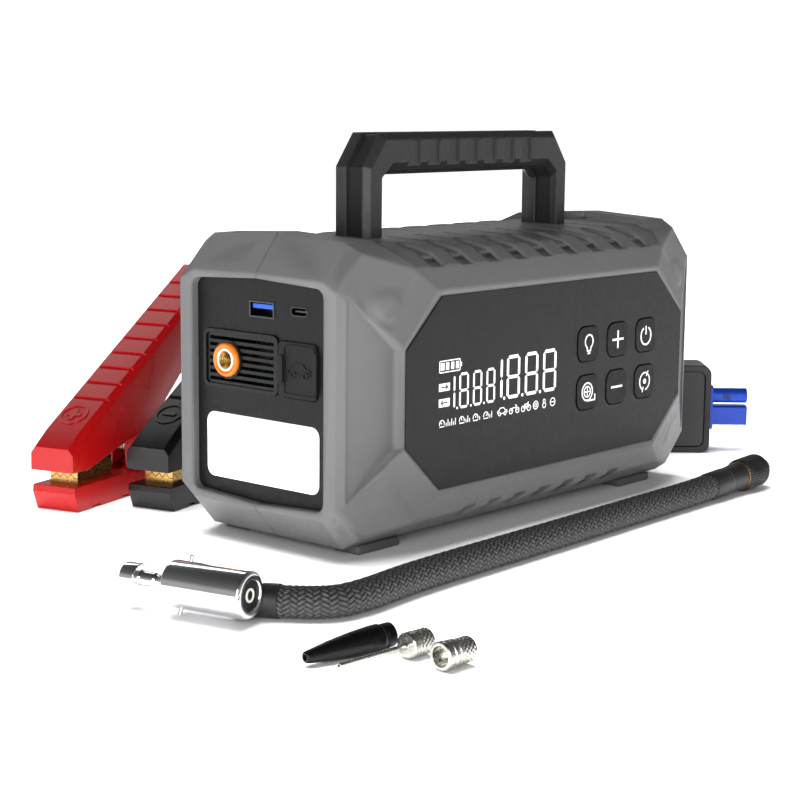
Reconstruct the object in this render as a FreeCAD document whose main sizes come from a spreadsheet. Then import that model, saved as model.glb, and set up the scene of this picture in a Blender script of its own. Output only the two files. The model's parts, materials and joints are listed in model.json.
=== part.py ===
import FreeCAD, Part
import math
import os
import re
from FreeCAD import Vector, Rotation, Placement

# Jump starter with built-in tyre inflator, its two battery clamps, the lead
# box with its plug, the air hose and three inflating adapters.
# X runs along the housing (ports at -X), the display faces -Y, +Z is up.
# The origin is on the floor, midway between the four rubber feet.

os.makedirs("parts", exist_ok=True)
doc = FreeCAD.newDocument("JumpStarter")

# ---------------------------------------------------------------- sizes, mm
SIZES = [
    ("endX", 121.5, "half length of the housing, at the end rims"),
    ("bevX", 109.0, "half length of the housing at its top and bottom faces"),
    ("rimY", 43.0, "half width of the end rims"),
    ("faceY", 55.9, "half depth over the octagonal borders"),
    ("topZ", 125.2, "top of the end bumpers"),
    ("deckZ", 121.6, "vented deck between the bumpers"),
    ("baseZ", 3.6, "underside of the housing"),
    ("wall", 2.6, "shell wall"),
    ("rimDeep", 9.0, "depth of the end rims along X"),
    ("octA", 96.3, "half length of the display window"),
    ("octB", 75.4, "half length of its top and bottom sides"),
    ("octZa", 25.0, "window bottom"),
    ("octZb", 44.4, "window lower corner"),
    ("octZc", 82.3, "window upper corner"),
    ("octZd", 101.8, "window top"),
    ("winY", 56.4, "outer face of the window"),
    ("winThick", 2.4, "window thickness"),
    ("portX", 118.0, "outer face of the end panels"),
    ("portThick", 2.5, "end panel thickness"),
    ("portY", 36.5, "half width of the end panels"),
    ("portLow", 20.0, "end panel bottom edge"),
    ("portTop", 106.0, "end panel top edge"),
    ("portPeak", 1.9, "rise of the end panel edges at the seam"),
    ("lightY", 31.1, "half width of the work light"),
    ("lightLow", 25.4, "work light bottom"),
    ("lightTop", 51.9, "work light top"),
    ("gripMid", 1.3, "middle of the handle along X"),
    ("gripX", 69.0, "half length of the handle"),
    ("legX", 9.6, "handle leg width"),
    ("gripTop", 163.5, "top of the handle"),
    ("gripLow", 146.0, "underside of the grip"),
    ("gripY", 10.0, "half thickness of the handle"),
    ("coreFront", 6.6, "front of the handle core, from the seam"),
    ("coreRear", 1.9, "rear of the handle core, from the seam"),
    ("gripChamfer", 2.6, "chamfer round the outer edges of the handle"),
    ("pocketWide", 8.1, "width of a grip pocket"),
    ("pocketPitch", 12.7, "spacing of the grip pockets"),
    ("legLow", 112.0, "lower end of the handle legs"),
    ("footX", 89.9, "foot centre along X"),
    ("footLen", 25.0, "foot length"),
    ("footY", 37.9, "outer edge of the feet"),
    ("footWide", 14.0, "foot width"),
    ("keyWide", 15.4, "button width"),
    ("keyTall", 14.8, "button height"),
    ("keyGap", 0.3, "clearance round a button"),
    ("keyTravel", 0.8, "button travel"),
    ("keyRowA", 74.0, "upper button row"),
    ("keyRowB", 53.0, "lower button row"),
    ("keyColA", 23.2, "first button column"),
    ("keyPitch", 22.0, "button column spacing"),
    ("grooveWide", 8.2, "cooling groove width"),
    ("grooveDeep", 1.7, "cooling groove depth"),
    ("groovePitch", 18.0, "upper groove spacing"),
    ("lowPitch", 17.0, "lower groove spacing"),
    ("ventWide", 2.2, "vent slot width"),
    ("grilleY", 11.4, "air outlet grille centre"),
    ("grilleZ", 73.9, "air outlet grille centre height"),
    ("grilleWide", 42.0, "grille width"),
    ("grilleTall", 23.6, "grille height"),
    ("outletY", 19.0, "air outlet centre"),
    ("outletZ", 73.8, "air outlet centre height"),
    ("ringRad", 6.85, "outlet ring outer radius"),
    ("socketRad", 4.7, "brass socket outer radius"),
    ("boreRad", 3.3, "brass socket bore radius"),
    ("coverY", -20.1, "jumper port cover centre"),
    ("coverZ", 73.2, "jumper port cover centre height"),
    ("coverWide", 20.4, "cover width"),
    ("coverTall", 21.8, "cover height"),
    ("usbAY", -0.1, "USB-A centre"),
    ("usbAZ", 95.4, "USB-A centre height"),
    ("usbCY", -20.5, "USB-C centre"),
    ("usbCZ", 96.1, "USB-C centre height"),
    ("clampWide", 22.0, "clamp width"),
    ("pivotS", 51.0, "clamp pivot, distance from the nose"),
    ("pivotZ", 21.0, "clamp pivot height"),
    ("pinRad", 2.0, "clamp pivot pin radius"),
    ("armChamfer", 2.4, "chamfer along the upper arm's top edges"),
    ("notchFrom", 24.4, "first rib notch, distance from the nose"),
    ("notchPitch", 9.75, "rib notch spacing"),
    ("jawFrom", 4.6, "front of the jaws, distance from the nose"),
    ("jawTo", 30.0, "back of the jaws"),
    ("jawY", 3.8, "near side of the jaws"),
    ("jawSheet", 1.6, "thickness of the jaws' sheet"),
    ("toothPitch", 3.6, "spacing of the jaw teeth"),
    ("hoseRad", 5.8, "hose radius"),
    ("sleeveRad", 6.1, "hose end sleeve radius"),
    ("collarRad", 7.5, "chuck collar radius"),
    ("barrelRad", 8.4, "air plug barrel radius"),
    ("barrelLen", 33.0, "air plug barrel length"),
    ("boxLong", 70.0, "lead box length"),
    ("boxTall", 45.0, "lead box height"),
    ("boxThick", 22.0, "lead box thickness"),
]

sheet = doc.addObject("Spreadsheet::Sheet", "dims")
for row, (alias, value, note) in enumerate(SIZES, 1):
    sheet.set("A%d" % row, note)
    sheet.set("B%d" % row, str(value))
    sheet.setAlias("B%d" % row, alias)
doc.recompute()
DIM = {alias: float(sheet.get(alias)) for alias, value, note in SIZES}
WORDS = re.compile(r"\b(" + "|".join(DIM) + r")\b")


def bound(text):
    """Expression text with each size name pointed at the sheet."""
    return WORDS.sub(r"dims.\1", str(text))


def number(text):
    """The same expression's value, for shapes made in code."""
    total = doc.getObject("scratch")
    if total is None:
        total = doc.addObject("App::FeaturePython", "scratch")
        total.addProperty("App::PropertyFloat", "Value")
    total.setExpression("Value", bound(text))
    total.recompute()
    return float(total.Value)


# ---------------------------------------------------------------- helpers
COUNT = [0]
PIECES = []


def fresh(stem):
    """A document name that isn't taken yet."""
    COUNT[0] += 1
    return "%s_%03d" % (stem, COUNT[0])


def place(obj, x, y, z):
    """Bind an object's position to the sheet."""
    for axis, value in (("x", x), ("y", y), ("z", z)):
        obj.setExpression("Placement.Base." + axis, bound(value))


def around(centre, half):
    """(low, high) pair of expressions about a centre."""
    return ("%s - (%s)" % (centre, half), "%s + (%s)" % (centre, half))


def box(x, y, z):
    """Box from three (low, high) pairs of expressions."""
    obj = doc.addObject("Part::Box", fresh("box"))
    for prop, (low, high) in (("Length", x), ("Width", y), ("Height", z)):
        obj.setExpression(prop, bound("(%s) - (%s)" % (high, low)))
    place(obj, x[0], y[0], z[0])
    return obj


TURNS = {
    "+x": Rotation(Vector(0, 1, 0), 90),
    "-x": Rotation(Vector(0, 1, 0), -90),
    "+y": Rotation(Vector(1, 0, 0), -90),
    "-y": Rotation(Vector(1, 0, 0), 90),
    "+z": Rotation(),
    "-z": Rotation(Vector(1, 0, 0), 180),
}


def rod(at, axis, rad, length):
    """Cylinder from the point `at` along `axis`."""
    obj = doc.addObject("Part::Cylinder", fresh("rod"))
    obj.setExpression("Radius", bound(rad))
    obj.setExpression("Height", bound(length))
    obj.Placement = Placement(Vector(), TURNS[axis])
    place(obj, *at)
    return obj


def join(*parts):
    if len(parts) == 1:
        return parts[0]
    obj = doc.addObject("Part::MultiFuse", fresh("join"))
    obj.Shapes = list(parts)
    obj.Refine = True
    return obj


def cut(base, *tools):
    obj = doc.addObject("Part::Cut", fresh("cut"))
    obj.Base = base
    obj.Tool = join(*tools)
    obj.Refine = True
    return obj


def group(*parts):
    """Separate solids kept side by side in one piece."""
    obj = doc.addObject("Part::Compound", fresh("group"))
    obj.Links = list(parts)
    return obj


def plane_of(body, role):
    for feature in body.Origin.OriginFeatures:
        if feature.Role == role:
            return feature
    raise ValueError(role)


PLANES = {"xy": "XY_Plane", "xz": "XZ_Plane", "yz": "YZ_Plane"}


def add_loop(sketch, points):
    corners = [Vector(a, b, 0) for a, b in points]
    for a, b in zip(corners, corners[1:] + corners[:1]):
        sketch.addGeometry(Part.LineSegment(a, b), False)


def sketch_on(body, plane, shift, loops):
    """Sketch of closed polylines, `shift` along the plane's normal."""
    sketch = body.newObject("Sketcher::SketchObject", fresh("sketch"))
    sketch.AttachmentSupport = [(plane_of(body, PLANES[plane]), "")]
    sketch.MapMode = "FlatFace"
    sketch.setExpression("AttachmentOffset.Base.z", bound(shift))
    for points in loops:
        add_loop(sketch, [(number(a), number(b)) for a, b in points])
    return sketch


def padded(plane, low, high, loops, fillets=None, chamfers=None):
    """PartDesign body: sketch padded between two distances on the normal.

    The xz plane's normal is -Y, so `low` and `high` are minus-Y there.
    `fillets` and `chamfers` are an edge test with a radius or a size.
    """
    body = doc.addObject("PartDesign::Body", fresh("body"))
    sketch = sketch_on(body, plane, low, loops)
    pad = body.newObject("PartDesign::Pad", fresh("pad"))
    pad.Profile = sketch
    pad.setExpression("Length", bound("(%s) - (%s)" % (high, low)))
    doc.recompute()
    if fillets:
        test, radius = fillets
        names = edge_names(pad.Shape, test)
        fillet = body.newObject("PartDesign::Fillet", fresh("fillet"))
        fillet.Base = (pad, names)
        fillet.setExpression("Radius", bound(radius))
        doc.recompute()
    if chamfers:
        test, size = chamfers
        names = edge_names(pad.Shape, test)
        chamfer = body.newObject("PartDesign::Chamfer", fresh("chamfer"))
        chamfer.Base = (pad, names)
        chamfer.setExpression("Size", bound(size))
        doc.recompute()
    return body


def edge_names(shape, test):
    names = []
    for i, edge in enumerate(shape.Edges, 1):
        a = edge.valueAt(edge.FirstParameter)
        b = edge.valueAt(edge.LastParameter)
        if test(a, b):
            names.append("Edge%d" % i)
    if not names:
        raise ValueError("no edge to round")
    return names


def runs(axis):
    """Edge test: the edge is parallel to an axis."""
    def test(a, b):
        d = b - a
        parts = {"x": d.x, "y": d.y, "z": d.z}
        own = abs(parts.pop(axis))
        return own > 1e-6 and all(abs(v) < 1e-6 for v in parts.values())
    return test


def rounded(x, y, z, axis, radius):
    """Box whose edges along one axis are rounded, as a PartDesign body."""
    if axis == "x":
        loop = [(y[0], z[0]), (y[1], z[0]), (y[1], z[1]), (y[0], z[1])]
        return padded("yz", x[0], x[1], [loop], (runs("x"), radius))
    if axis == "y":
        loop = [(x[0], z[0]), (x[1], z[0]), (x[1], z[1]), (x[0], z[1])]
        low, high = "-(%s)" % y[1], "-(%s)" % y[0]
        return padded("xz", low, high, [loop], (runs("y"), radius))
    loop = [(x[0], y[0]), (x[1], y[0]), (x[1], y[1]), (x[0], y[1])]
    return padded("xy", z[0], z[1], [loop], (runs("z"), radius))


def made(shape):
    """Part::Feature for a shape made in code."""
    obj = doc.addObject("Part::Feature", fresh("made"))
    obj.Shape = shape
    return obj


def piece(label, obj, placement=None):
    """Name a finished piece; `placement` moves it from its own frame."""
    if placement is not None:
        outer = doc.addObject("Part::Compound", fresh("placed"))
        outer.Links = [obj]
        outer.Placement = placement
        obj = outer
    obj.Label = label
    PIECES.append(obj)
    return obj


# ---------------------------------------------------------------- housing
# Each half shell is a stack of eight-sided outlines at growing depth: the
# seam, the deck edge, the end rim, the groove foot and the octagonal border.
# Columns: depth, half length, lower bevel foot, bottom, half length there,
# upper bevel foot, top, half length there.
OUTER = [
    ("0", "endX", 16.0, "baseZ", 110.0, 110.0, "topZ", "bevX"),
    ("36", "endX", 16.5, "baseZ", 110.0, 109.0, "topZ - 2", "bevX"),
    ("rimY", "endX", 21.6, 8.0, 108.0, 105.2, 119.5, 107.5),
    ("51.5", 105.8, 36.0, 13.0, 87.5, 90.8, 112.9, 87.0),
    ("faceY", 98.0, 43.8, 22.6, 76.8, 83.0, 104.2, 76.8),
]


def outline(row, shrink, depth):
    """One eight-sided outline, drawn in by `shrink`, at its depth."""
    side, low, base, base_x, high, top, top_x = [number(v) for v in row[1:]]
    side, base, top = side - shrink, base + shrink, top - shrink
    low, high = low + 0.5 * shrink, high - 0.5 * shrink
    base_x, top_x = base_x - 0.5 * shrink, top_x - 0.5 * shrink
    half = [(base_x, base), (side, low), (side, high), (top_x, top)]
    half += [(-x, z) for x, z in reversed(half)]
    pts = [Vector(x, -depth, z) for x, z in half]
    return Part.makePolygon(pts + pts[:1])


def lofted(wires):
    """Ruled solid through closed outlines, with its faces turned outwards."""
    solid = Part.makeLoft(wires, True, True)
    if solid.Volume < 0:
        solid.reverse()
    return solid


def stack(shrink, end_shrink):
    wires = []
    for row in OUTER:
        depth = number(row[0])
        if row is OUTER[-1]:
            depth -= shrink
        wires.append(outline(row, shrink, depth))
    solid = lofted(wires)
    if end_shrink:
        half = DIM["endX"] - end_shrink
        solid = solid.common(Part.makeBox(2 * half, 80, 160, Vector(-half, -80, 0)))
    return solid


def wedge(points_a, points_b):
    """Solid between two polygons with the same number of corners."""
    loops = []
    for pts in (points_a, points_b):
        pts = [Vector(*p) for p in pts]
        loops.append(Part.makePolygon(pts + pts[:1]))
    return lofted(loops)


def prism_x(x0, x1, yz):
    pts = [Vector(x0, y, z) for y, z in yz]
    face = Part.Face(Part.makePolygon(pts + pts[:1]))
    return face.extrude(Vector(x1 - x0, 0, 0))


def end_opening(x0, x1, inset):
    """Six-sided end opening with rounded corners."""
    w = DIM["portY"] - inset
    low = DIM["portLow"] + inset
    top = DIM["portTop"] - inset
    peak = DIM["portPeak"]
    pts = [(-w, low), (0, low - peak), (w, low), (w, top), (0, top + peak), (-w, top)]
    solid = prism_x(x0, x1, pts)
    corners = [e for e in solid.Edges if runs("x")(e.Vertexes[0].Point, e.Vertexes[1].Point)
               and abs(abs(e.Vertexes[0].Point.y) - w) < 1e-6]
    return solid.makeFillet(4.0 - 0.4 * inset, corners)


def octagon_block(inset, y0, y1):
    """Block with the window's outline, between two depths on the -Y side."""
    a, b = DIM["octA"] - inset, DIM["octB"] - 0.42 * inset
    za, zb = DIM["octZa"] + inset, DIM["octZb"] + 0.42 * inset
    zc, zd = DIM["octZc"] - 0.42 * inset, DIM["octZd"] - inset
    pts = [(-b, za), (b, za), (a, zb), (a, zc), (b, zd), (-b, zd), (-a, zc), (-a, zb)]
    pts = [Vector(x, -y0, z) for x, z in pts]
    face = Part.Face(Part.makePolygon(pts + pts[:1]))
    return face.extrude(Vector(0, y0 - y1, 0))


def deck_cut():
    """Lowers the deck between the two bumpers."""
    deck = DIM["deckZ"]
    rows = [(1.0, 97.0, deck), (-32.0, 94.5, deck - 1.0),
            (-43.0, 89.5, 118.3), (-51.5, 84.0, 113.0)]
    wires = []
    for y, half, z in rows:
        pts = [Vector(-half, y, z), Vector(half, y, z),
               Vector(half + 3, y, 132), Vector(-half - 3, y, 132)]
        wires.append(Part.makePolygon(pts + pts[:1]))
    return lofted(wires)


def side_recess(side):
    """Dished facet between an end rim and the octagonal border."""
    deep = [(117.6, -44.4, 24.0), (117.6, -44.4, 103.0), (97.2, -49.4, 82.4), (97.2, -49.4, 44.3)]
    far = [(119.6, -62.0, 22.0), (119.6, -62.0, 105.0), (97.2, -62.0, 82.6), (97.2, -62.0, 44.1)]
    turn = lambda pts: [(side * x, y, z) for x, y, z in pts]
    return wedge(turn(deep), turn(far))


def grooves():
    """Cooling grooves over the upper shoulder and the short lower ones."""
    half = DIM["grooveWide"] / 2
    deep = DIM["grooveDeep"]
    upper = [(-25.0, 124.0), (-25.0, 120.9), (-32.0, 120.6 - deep), (-43.0, 118.3 - deep),
             (-50.2, 113.9 - deep), (-52.6, 113.2), (-60.0, 118.0)]
    lower = [(-60.0, 6.0), (-52.2, 14.6), (-49.6, 11.7 + deep), (-44.0, 8.6 + deep),
             (-40.6, 6.2), (-42.0, 0.0)]
    tools = []
    for i in range(9):
        x = (i - 4) * DIM["groovePitch"]
        tools.append(prism_x(x - half, x + half, upper))
        tools.append(Part.makeBox(DIM["ventWide"], 17.0, 12.0,
                                  Vector(x - DIM["ventWide"] / 2, -26.0, 114.0)))
    for i in range(7):
        x = (i - 3) * DIM["lowPitch"]
        tools.append(prism_x(x - half, x + half, lower))
    return tools


def leg_holes():
    tools = []
    for side in (-1, 1):
        x0 = DIM["gripMid"] + (-DIM["gripX"] if side < 0 else DIM["gripX"] - DIM["legX"])
        tools.append(Part.makeBox(DIM["legX"], 2 * DIM["gripY"], 30.0,
                                  Vector(x0, -DIM["gripY"], DIM["legLow"])))
    return tools


SCREWS = [(-100.0, 26.0), (100.0, 26.0), (-100.0, 99.0), (100.0, 99.0)]


def cylinder_y(x, z, y0, y1, rad):
    return Part.makeCylinder(rad, abs(y1 - y0), Vector(x, y0, z), Vector(0, 1 if y1 > y0 else -1, 0))


def half_shell(front):
    outer = stack(0.0, 0.0)
    inner = stack(DIM["wall"], DIM["rimDeep"])
    shell = outer.cut(inner)
    deck_roof = Part.makeBox(196, 44, 8.0, Vector(-98, -44, 114.2)).common(outer)
    shell = shell.fuse([deck_roof])
    ribs = []
    for side in (-1, 1):
        pts_deep = [(side * 118.5, -41.0, 22.0), (side * 118.5, -41.0, 105.0),
                    (side * 95.0, -47.0, 84.0), (side * 95.0, -47.0, 42.0)]
        pts_far = [(side * 118.5, -55.0, 22.0), (side * 118.5, -55.0, 105.0),
                   (side * 95.0, -55.0, 84.0), (side * 95.0, -55.0, 42.0)]
        ribs.append(wedge(pts_deep, pts_far).common(outer))
    for x, z in SCREWS:
        ribs.append(cylinder_y(x, z, 0.0, -60.0, 4.5).common(outer))
    shell = shell.fuse(ribs)
    tools = [side_recess(1), side_recess(-1), deck_cut()] + grooves() + leg_holes()
    face = DIM["winY"]
    seat = face - DIM["winThick"]
    tools.append(octagon_block(0.0, seat, 70.0))
    if front:
        tools.append(octagon_block(5.0, 40.0, seat + 1.0))
        tools += [cylinder_y(x, z, 1.0, -16.0, 1.6) for x, z in SCREWS]
    else:
        tools.append(octagon_block(5.0, 40.0, seat + 1.0))
        tools += [cylinder_y(x, z, 1.0, -60.0, 1.7) for x, z in SCREWS]
        tools += [cylinder_y(x, z, -36.0, -60.0, 3.6) for x, z in SCREWS]
    for side in (-1, 1):
        far = side * (DIM["endX"] + 3.0)
        ledge = side * (DIM["portX"] - DIM["portThick"])
        near = side * (DIM["endX"] - DIM["rimDeep"] - 3.0)
        tools.append(end_opening(ledge, far, 0.0))
        tools.append(end_opening(near, ledge + side * 0.5, 3.0))
    shell = shell.cut(tools)
    shell = max(shell.Solids, key=lambda solid: solid.Volume)
    if not front:
        shell = shell.mirror(Vector(0, 0, 0), Vector(0, 1, 0))
    return shell


piece("front_shell", made(half_shell(True)))
piece("rear_shell", made(half_shell(False)))

# Four screws from the rear hold the halves together.
screws = []
for x, z in SCREWS:
    head = rod((x, 36.0, z), "+y", 3.0, 2.6)
    drive = rod((x, 37.2, z), "+y", 1.2, 3)
    screws.append(cut(join(head, rod((x, -14.5, z), "+y", 1.55, 50.6)), drive))
piece("housing_screws", group(*screws))

# ---------------------------------------------------------------- windows
OCT = [("-octB", "octZa"), ("octB", "octZa"), ("octA", "octZb"), ("octA", "octZc"),
       ("octB", "octZd"), ("-octB", "octZd"), ("-octA", "octZc"), ("-octA", "octZb")]
KEYS = [("button_light", 0, "keyRowA"), ("button_plus", 1, "keyRowA"), ("button_power", 2, "keyRowA"),
        ("button_inflate", 0, "keyRowB"), ("button_minus", 1, "keyRowB"), ("button_mode", 2, "keyRowB")]
window = padded("xz", "winY - winThick", "winY", [OCT])
key_holes = []
for name, col, row in KEYS:
    cx = "keyColA + %d * keyPitch" % col
    key_holes.append(rounded(around(cx, "keyWide/2 + keyGap"), ("-winY - 1", "-winY + winThick + 1"),
                             around(row, "keyTall/2 + keyGap"), "y", 4.7))
piece("display_window", cut(window, *key_holes))

rear = padded("xz", "-winY", "-winY + winThick", [OCT])
slots = []
for i in range(8):
    z = 49 + 4.2 * i
    slots.append(rounded((-38, 38), (50, 60), (z, z + 1.8), "y", 0.85))
piece("rear_panel", cut(rear, *slots))

# Buttons: cap through the window, flange behind it, stub towards the switch.
for name, col, row in KEYS:
    cx = "keyColA + %d * keyPitch" % col
    cap = rounded(around(cx, "keyWide/2"), ("-winY - 0.4", "-winY + winThick + 0.3"),
                  around(row, "keyTall/2"), "y", 4.4)
    flange = box(around(cx, "keyWide/2 + 1"), ("-winY + winThick + 0.1", "-winY + winThick + 1.1"),
                 around(row, "keyTall/2 + 1"))
    stub = rod((cx, "-winY + winThick + 1", row), "+y", 1.6, 1.6)
    piece(name, join(cap, flange, stub))

# Circuit board behind the window: display module and one switch per button.
board = box((-88, 82), (-50.2, -48.6), (38, 90))
module = box((-80, 8), (-53.7, -50.2), (42, 84))
switches = []
for name, col, row in KEYS:
    cx = "keyColA + %d * keyPitch" % col
    switches.append(box(around(cx, 3), (-50.5, -50.1), around(row, 3)))
piece("display_board", join(board, module, *switches))

# ---------------------------------------------------------------- end panels
def end_plate(side):
    ledge = side * (DIM["portX"] - DIM["portThick"])
    return made(end_opening(ledge, side * DIM["portX"], 0.1))


THROUGH = ("-portX - 2", "-portX + 5")
light_hole = rounded(THROUGH, around(0, "lightY + 0.1"), ("lightLow - 0.1", "lightTop + 0.1"), "x", 4.1)
grille_hole = rounded(THROUGH, around("grilleY", "grilleWide/2 + 0.1"),
                      around("grilleZ", "grilleTall/2 + 0.1"), "x", 3.1)
jump_hole = rounded(THROUGH, around("coverY", 8), around("coverZ", 10.3), "x", 2.0)
cover_dish = rounded(("-portX - 2", "-portX + 0.8"), around("coverY", "coverWide/2 + 0.4"),
                     around("coverZ", "coverTall/2 + 0.4"), "x", 2.4)
usb_a_hole = rounded(THROUGH, around("usbAY", 6.9), around("usbAZ", 3.3), "x", 0.6)
usb_c_hole = rounded(THROUGH, around("usbCY", 4.6), around("usbCZ", 1.8), "x", 1.75)
piece("port_panel", cut(end_plate(-1), light_hole, grille_hole, jump_hole, cover_dish,
                        usb_a_hole, usb_c_hole))

vents = []
for i in range(9):
    z = 36 + 6.2 * i
    vents.append(rounded(("portX - 5", "portX + 3"), (-26, 26), (z, z + 2.6), "x", 1.25))
piece("end_panel", cut(end_plate(1), *vents))

# Work light: lens in the panel, LED board behind it.
piece("light_lens", rounded(("-portX - 0.5", "-portX + portThick"), ("-lightY", "lightY"),
                            ("lightLow", "lightTop"), "x", 4.0))
strip = box(("-portX + 4.2", "-portX + 5.8"), (-29, 29), (27.5, 49.8))
chips = [box(("-portX + 3.4", "-portX + 4.3"), around(y, 1.5), around(z, 1.5))
         for y in (-22, -11, 0, 11, 22) for z in (33, 44)]
piece("light_board", join(strip, *chips))

# Air outlet: slotted grille, insulating ring and threaded brass socket.
frame = rounded(("-portX - 0.9", "-portX + portThick"), around("grilleY", "grilleWide/2"),
                around("grilleZ", "grilleTall/2"), "x", 3.0)
dish = rounded(("-portX - 2", "-portX - 0.1"), around("grilleY", "grilleWide/2 - 1.5"),
               around("grilleZ", "grilleTall/2 - 1.5"), "x", 1.8)
slats = []
for i in range(7):
    z = "grilleZ + %.2f" % ((i - 3) * 2.75)
    slats.append(box(("-portX - 3", "-portX + 4"), around("grilleY", "grilleWide/2 - 3"), around(z, 0.7)))
boss = rod(("-portX - 0.6", "outletY", "outletZ"), "+x", "ringRad + 1.0", "portThick + 0.6")
seat = rod(("-portX - 3", "outletY", "outletZ"), "+x", "ringRad", 8)
piece("outlet_grille", cut(join(cut(frame, dish, *slats), boss), seat))
piece("outlet_ring", cut(rod(("-portX - 2.4", "outletY", "outletZ"), "+x", "ringRad", 5.2),
                         rod(("-portX - 4", "outletY", "outletZ"), "+x", "socketRad", 9)))
piece("outlet_socket", cut(join(rod(("-portX - 1.6", "outletY", "outletZ"), "+x", "socketRad", 15),
                                rod(("-portX + 3.2", "outletY", "outletZ"), "+x", "socketRad + 2.2", 4.6)),
                           rod(("-portX - 3", "outletY", "outletZ"), "+x", "boreRad", 14)))

# USB sockets.
shell_a = rounded(("-portX - 0.3", "-portX + 13"), around("usbAY", 6.9), around("usbAZ", 3.3), "x", 0.6)
hollow_a = box(("-portX - 2", "-portX + 11.5"), around("usbAY", 6.2), around("usbAZ", 2.6))
piece("usb_a_shell", cut(shell_a, hollow_a))
piece("usb_a_tongue", box(("-portX + 0.6", "-portX + 11.5"), around("usbAY", 5.6),
                          ("usbAZ + 0.3", "usbAZ + 2.1")))
shell_c = rounded(("-portX - 0.2", "-portX + 10"), around("usbCY", 4.6), around("usbCZ", 1.8), "x", 1.75)
hollow_c = rounded(("-portX - 2", "-portX + 8"), around("usbCY", 4.2), around("usbCZ", 1.4), "x", 1.35)
tongue_c = box(("-portX + 1", "-portX + 8.5"), around("usbCY", 3.2), around("usbCZ", 0.35))
piece("usb_c_port", join(cut(shell_c, hollow_c), tongue_c))

# Jumper port: two-hole power socket behind a hinged rubber cover.
socket_block = rounded(("-portX + 0.9", "-portX + 22"), around("coverY", 7.9),
                       around("coverZ", 10.2), "x", 1.9)
hole_round = rod(("-portX - 1", "coverY", "coverZ + 5.7"), "+x", 4.0, 18)
hole_long = rounded(("-portX - 1", "-portX + 17"), around("coverY", 4.4),
                    ("coverZ - 9.4", "coverZ + 0.9"), "x", 1.5)
pins = [rod(("-portX + 12", "coverY", "coverZ + %s" % z), "+x", 1.9, 6) for z in ("5.7", "(-4.25)")]
piece("jumper_socket", join(cut(socket_block, hole_round, hole_long), *pins))
plate = rounded(("-portX - 0.9", "-portX + 0.6"), around("coverY", "coverWide/2"),
                around("coverZ", "coverTall/2"), "x", 2.0)
tab = rounded(("-portX - 2.3", "-portX - 0.5"), ("coverY + coverWide/2 - 3.4", "coverY + coverWide/2 - 0.4"),
              around("coverZ", 5.5), "x", 1.0)
bead = rod(("-portX - 1.2", "coverY - coverWide/2", "coverZ - coverTall/2 + 3"), "+z", 0.8, "coverTall - 6")
piece("jumper_cover", join(plate, tab, bead))

# ---------------------------------------------------------------- handle
def handle_loop(inset):
    """Outer and inner outline of the handle, seen from the display side."""
    x, t, low = "gripX - %s" % inset, "gripTop - %s" % inset, "gripLow + %s" % inset
    leg = "gripX - legX + %s" % inset
    foot = "legLow"
    inner = [(leg, foot), (leg, "%s - 4" % low), ("%s - 4" % leg, low)]
    outer = [("%s - 10" % x, t), (x, "gripTop - 13.5"), (x, foot)]
    loop = [("-(%s)" % a, b) for a, b in outer + inner] + (outer + inner)[::-1]
    return [("gripMid + %s" % a, b) for a, b in loop]


def outer_rim(depth):
    """Edge test: the handle's outer outline at one depth, without its feet."""
    inner = DIM["gripX"] - DIM["legX"]

    def test(a, b):
        flat = abs(a.y - depth) < 1e-6 and abs(b.y - depth) < 1e-6
        return flat and all(abs(p.x - DIM["gripMid"]) > inner + 1 or p.z > DIM["gripTop"] - 1
                            for p in (a, b)) and a.z + b.z > 2 * DIM["legLow"] + 1
    return test


def flare(side):
    """Widens the opening between the legs towards one face of the handle."""
    mid, leg, low = DIM["gripMid"], DIM["gripX"] - DIM["legX"], DIM["gripLow"]
    deep = [(leg, 100.0), (leg, low - 4), (leg - 4, low)]
    wide = [(leg + 0.6, 100.0), (leg + 0.6, low - 0.5), (leg - 6.6, low + 5.6)]
    loops = []
    for half, y in ((deep, side * 5.6), (wide, side * (DIM["gripY"] + 0.05))):
        loops.append([(mid - x, y, z) for x, z in half] + [(mid + x, y, z) for x, z in half[::-1]])
    return made(wedge(*loops))


def pockets(side):
    """Seven shallow pockets across one face of the grip."""
    face = DIM["gripY"]
    y = sorted((side * (face - 1.2), side * (face + 1.0)))
    z = ("gripLow - 1", "gripTop - 3")
    return [box(around("gripMid - 0.9 + %d * pocketPitch" % i, "pocketWide/2"), y, z) for i in range(-3, 4)]


front_half = padded("xz", "coreFront", "gripY", [handle_loop(0)],
                    chamfers=(outer_rim(-DIM["gripY"]), "gripChamfer"))
rear_half = padded("xz", "-gripY", "-coreRear", [handle_loop(0)],
                   chamfers=(outer_rim(DIM["gripY"]), "gripChamfer"))
piece("handle_front_half", cut(front_half, flare(-1), *pockets(-1)))
piece("handle_rear_half", cut(rear_half, flare(1), *pockets(1)))
piece("handle_core", padded("xz", "-coreRear", "coreFront", [handle_loop(0.8)]))

# ---------------------------------------------------------------- feet
feet = []
for sx in (-1, 1):
    for sy in (-1, 1):
        cx = "%d * footX" % sx
        y = ("footY - footWide", "footY") if sy > 0 else ("-footY", "-footY + footWide")
        feet.append(rounded(around(cx, "footLen/2"), y, (0, "baseZ"), "z", 1.5))
piece("foot_pads", group(*feet))

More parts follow.
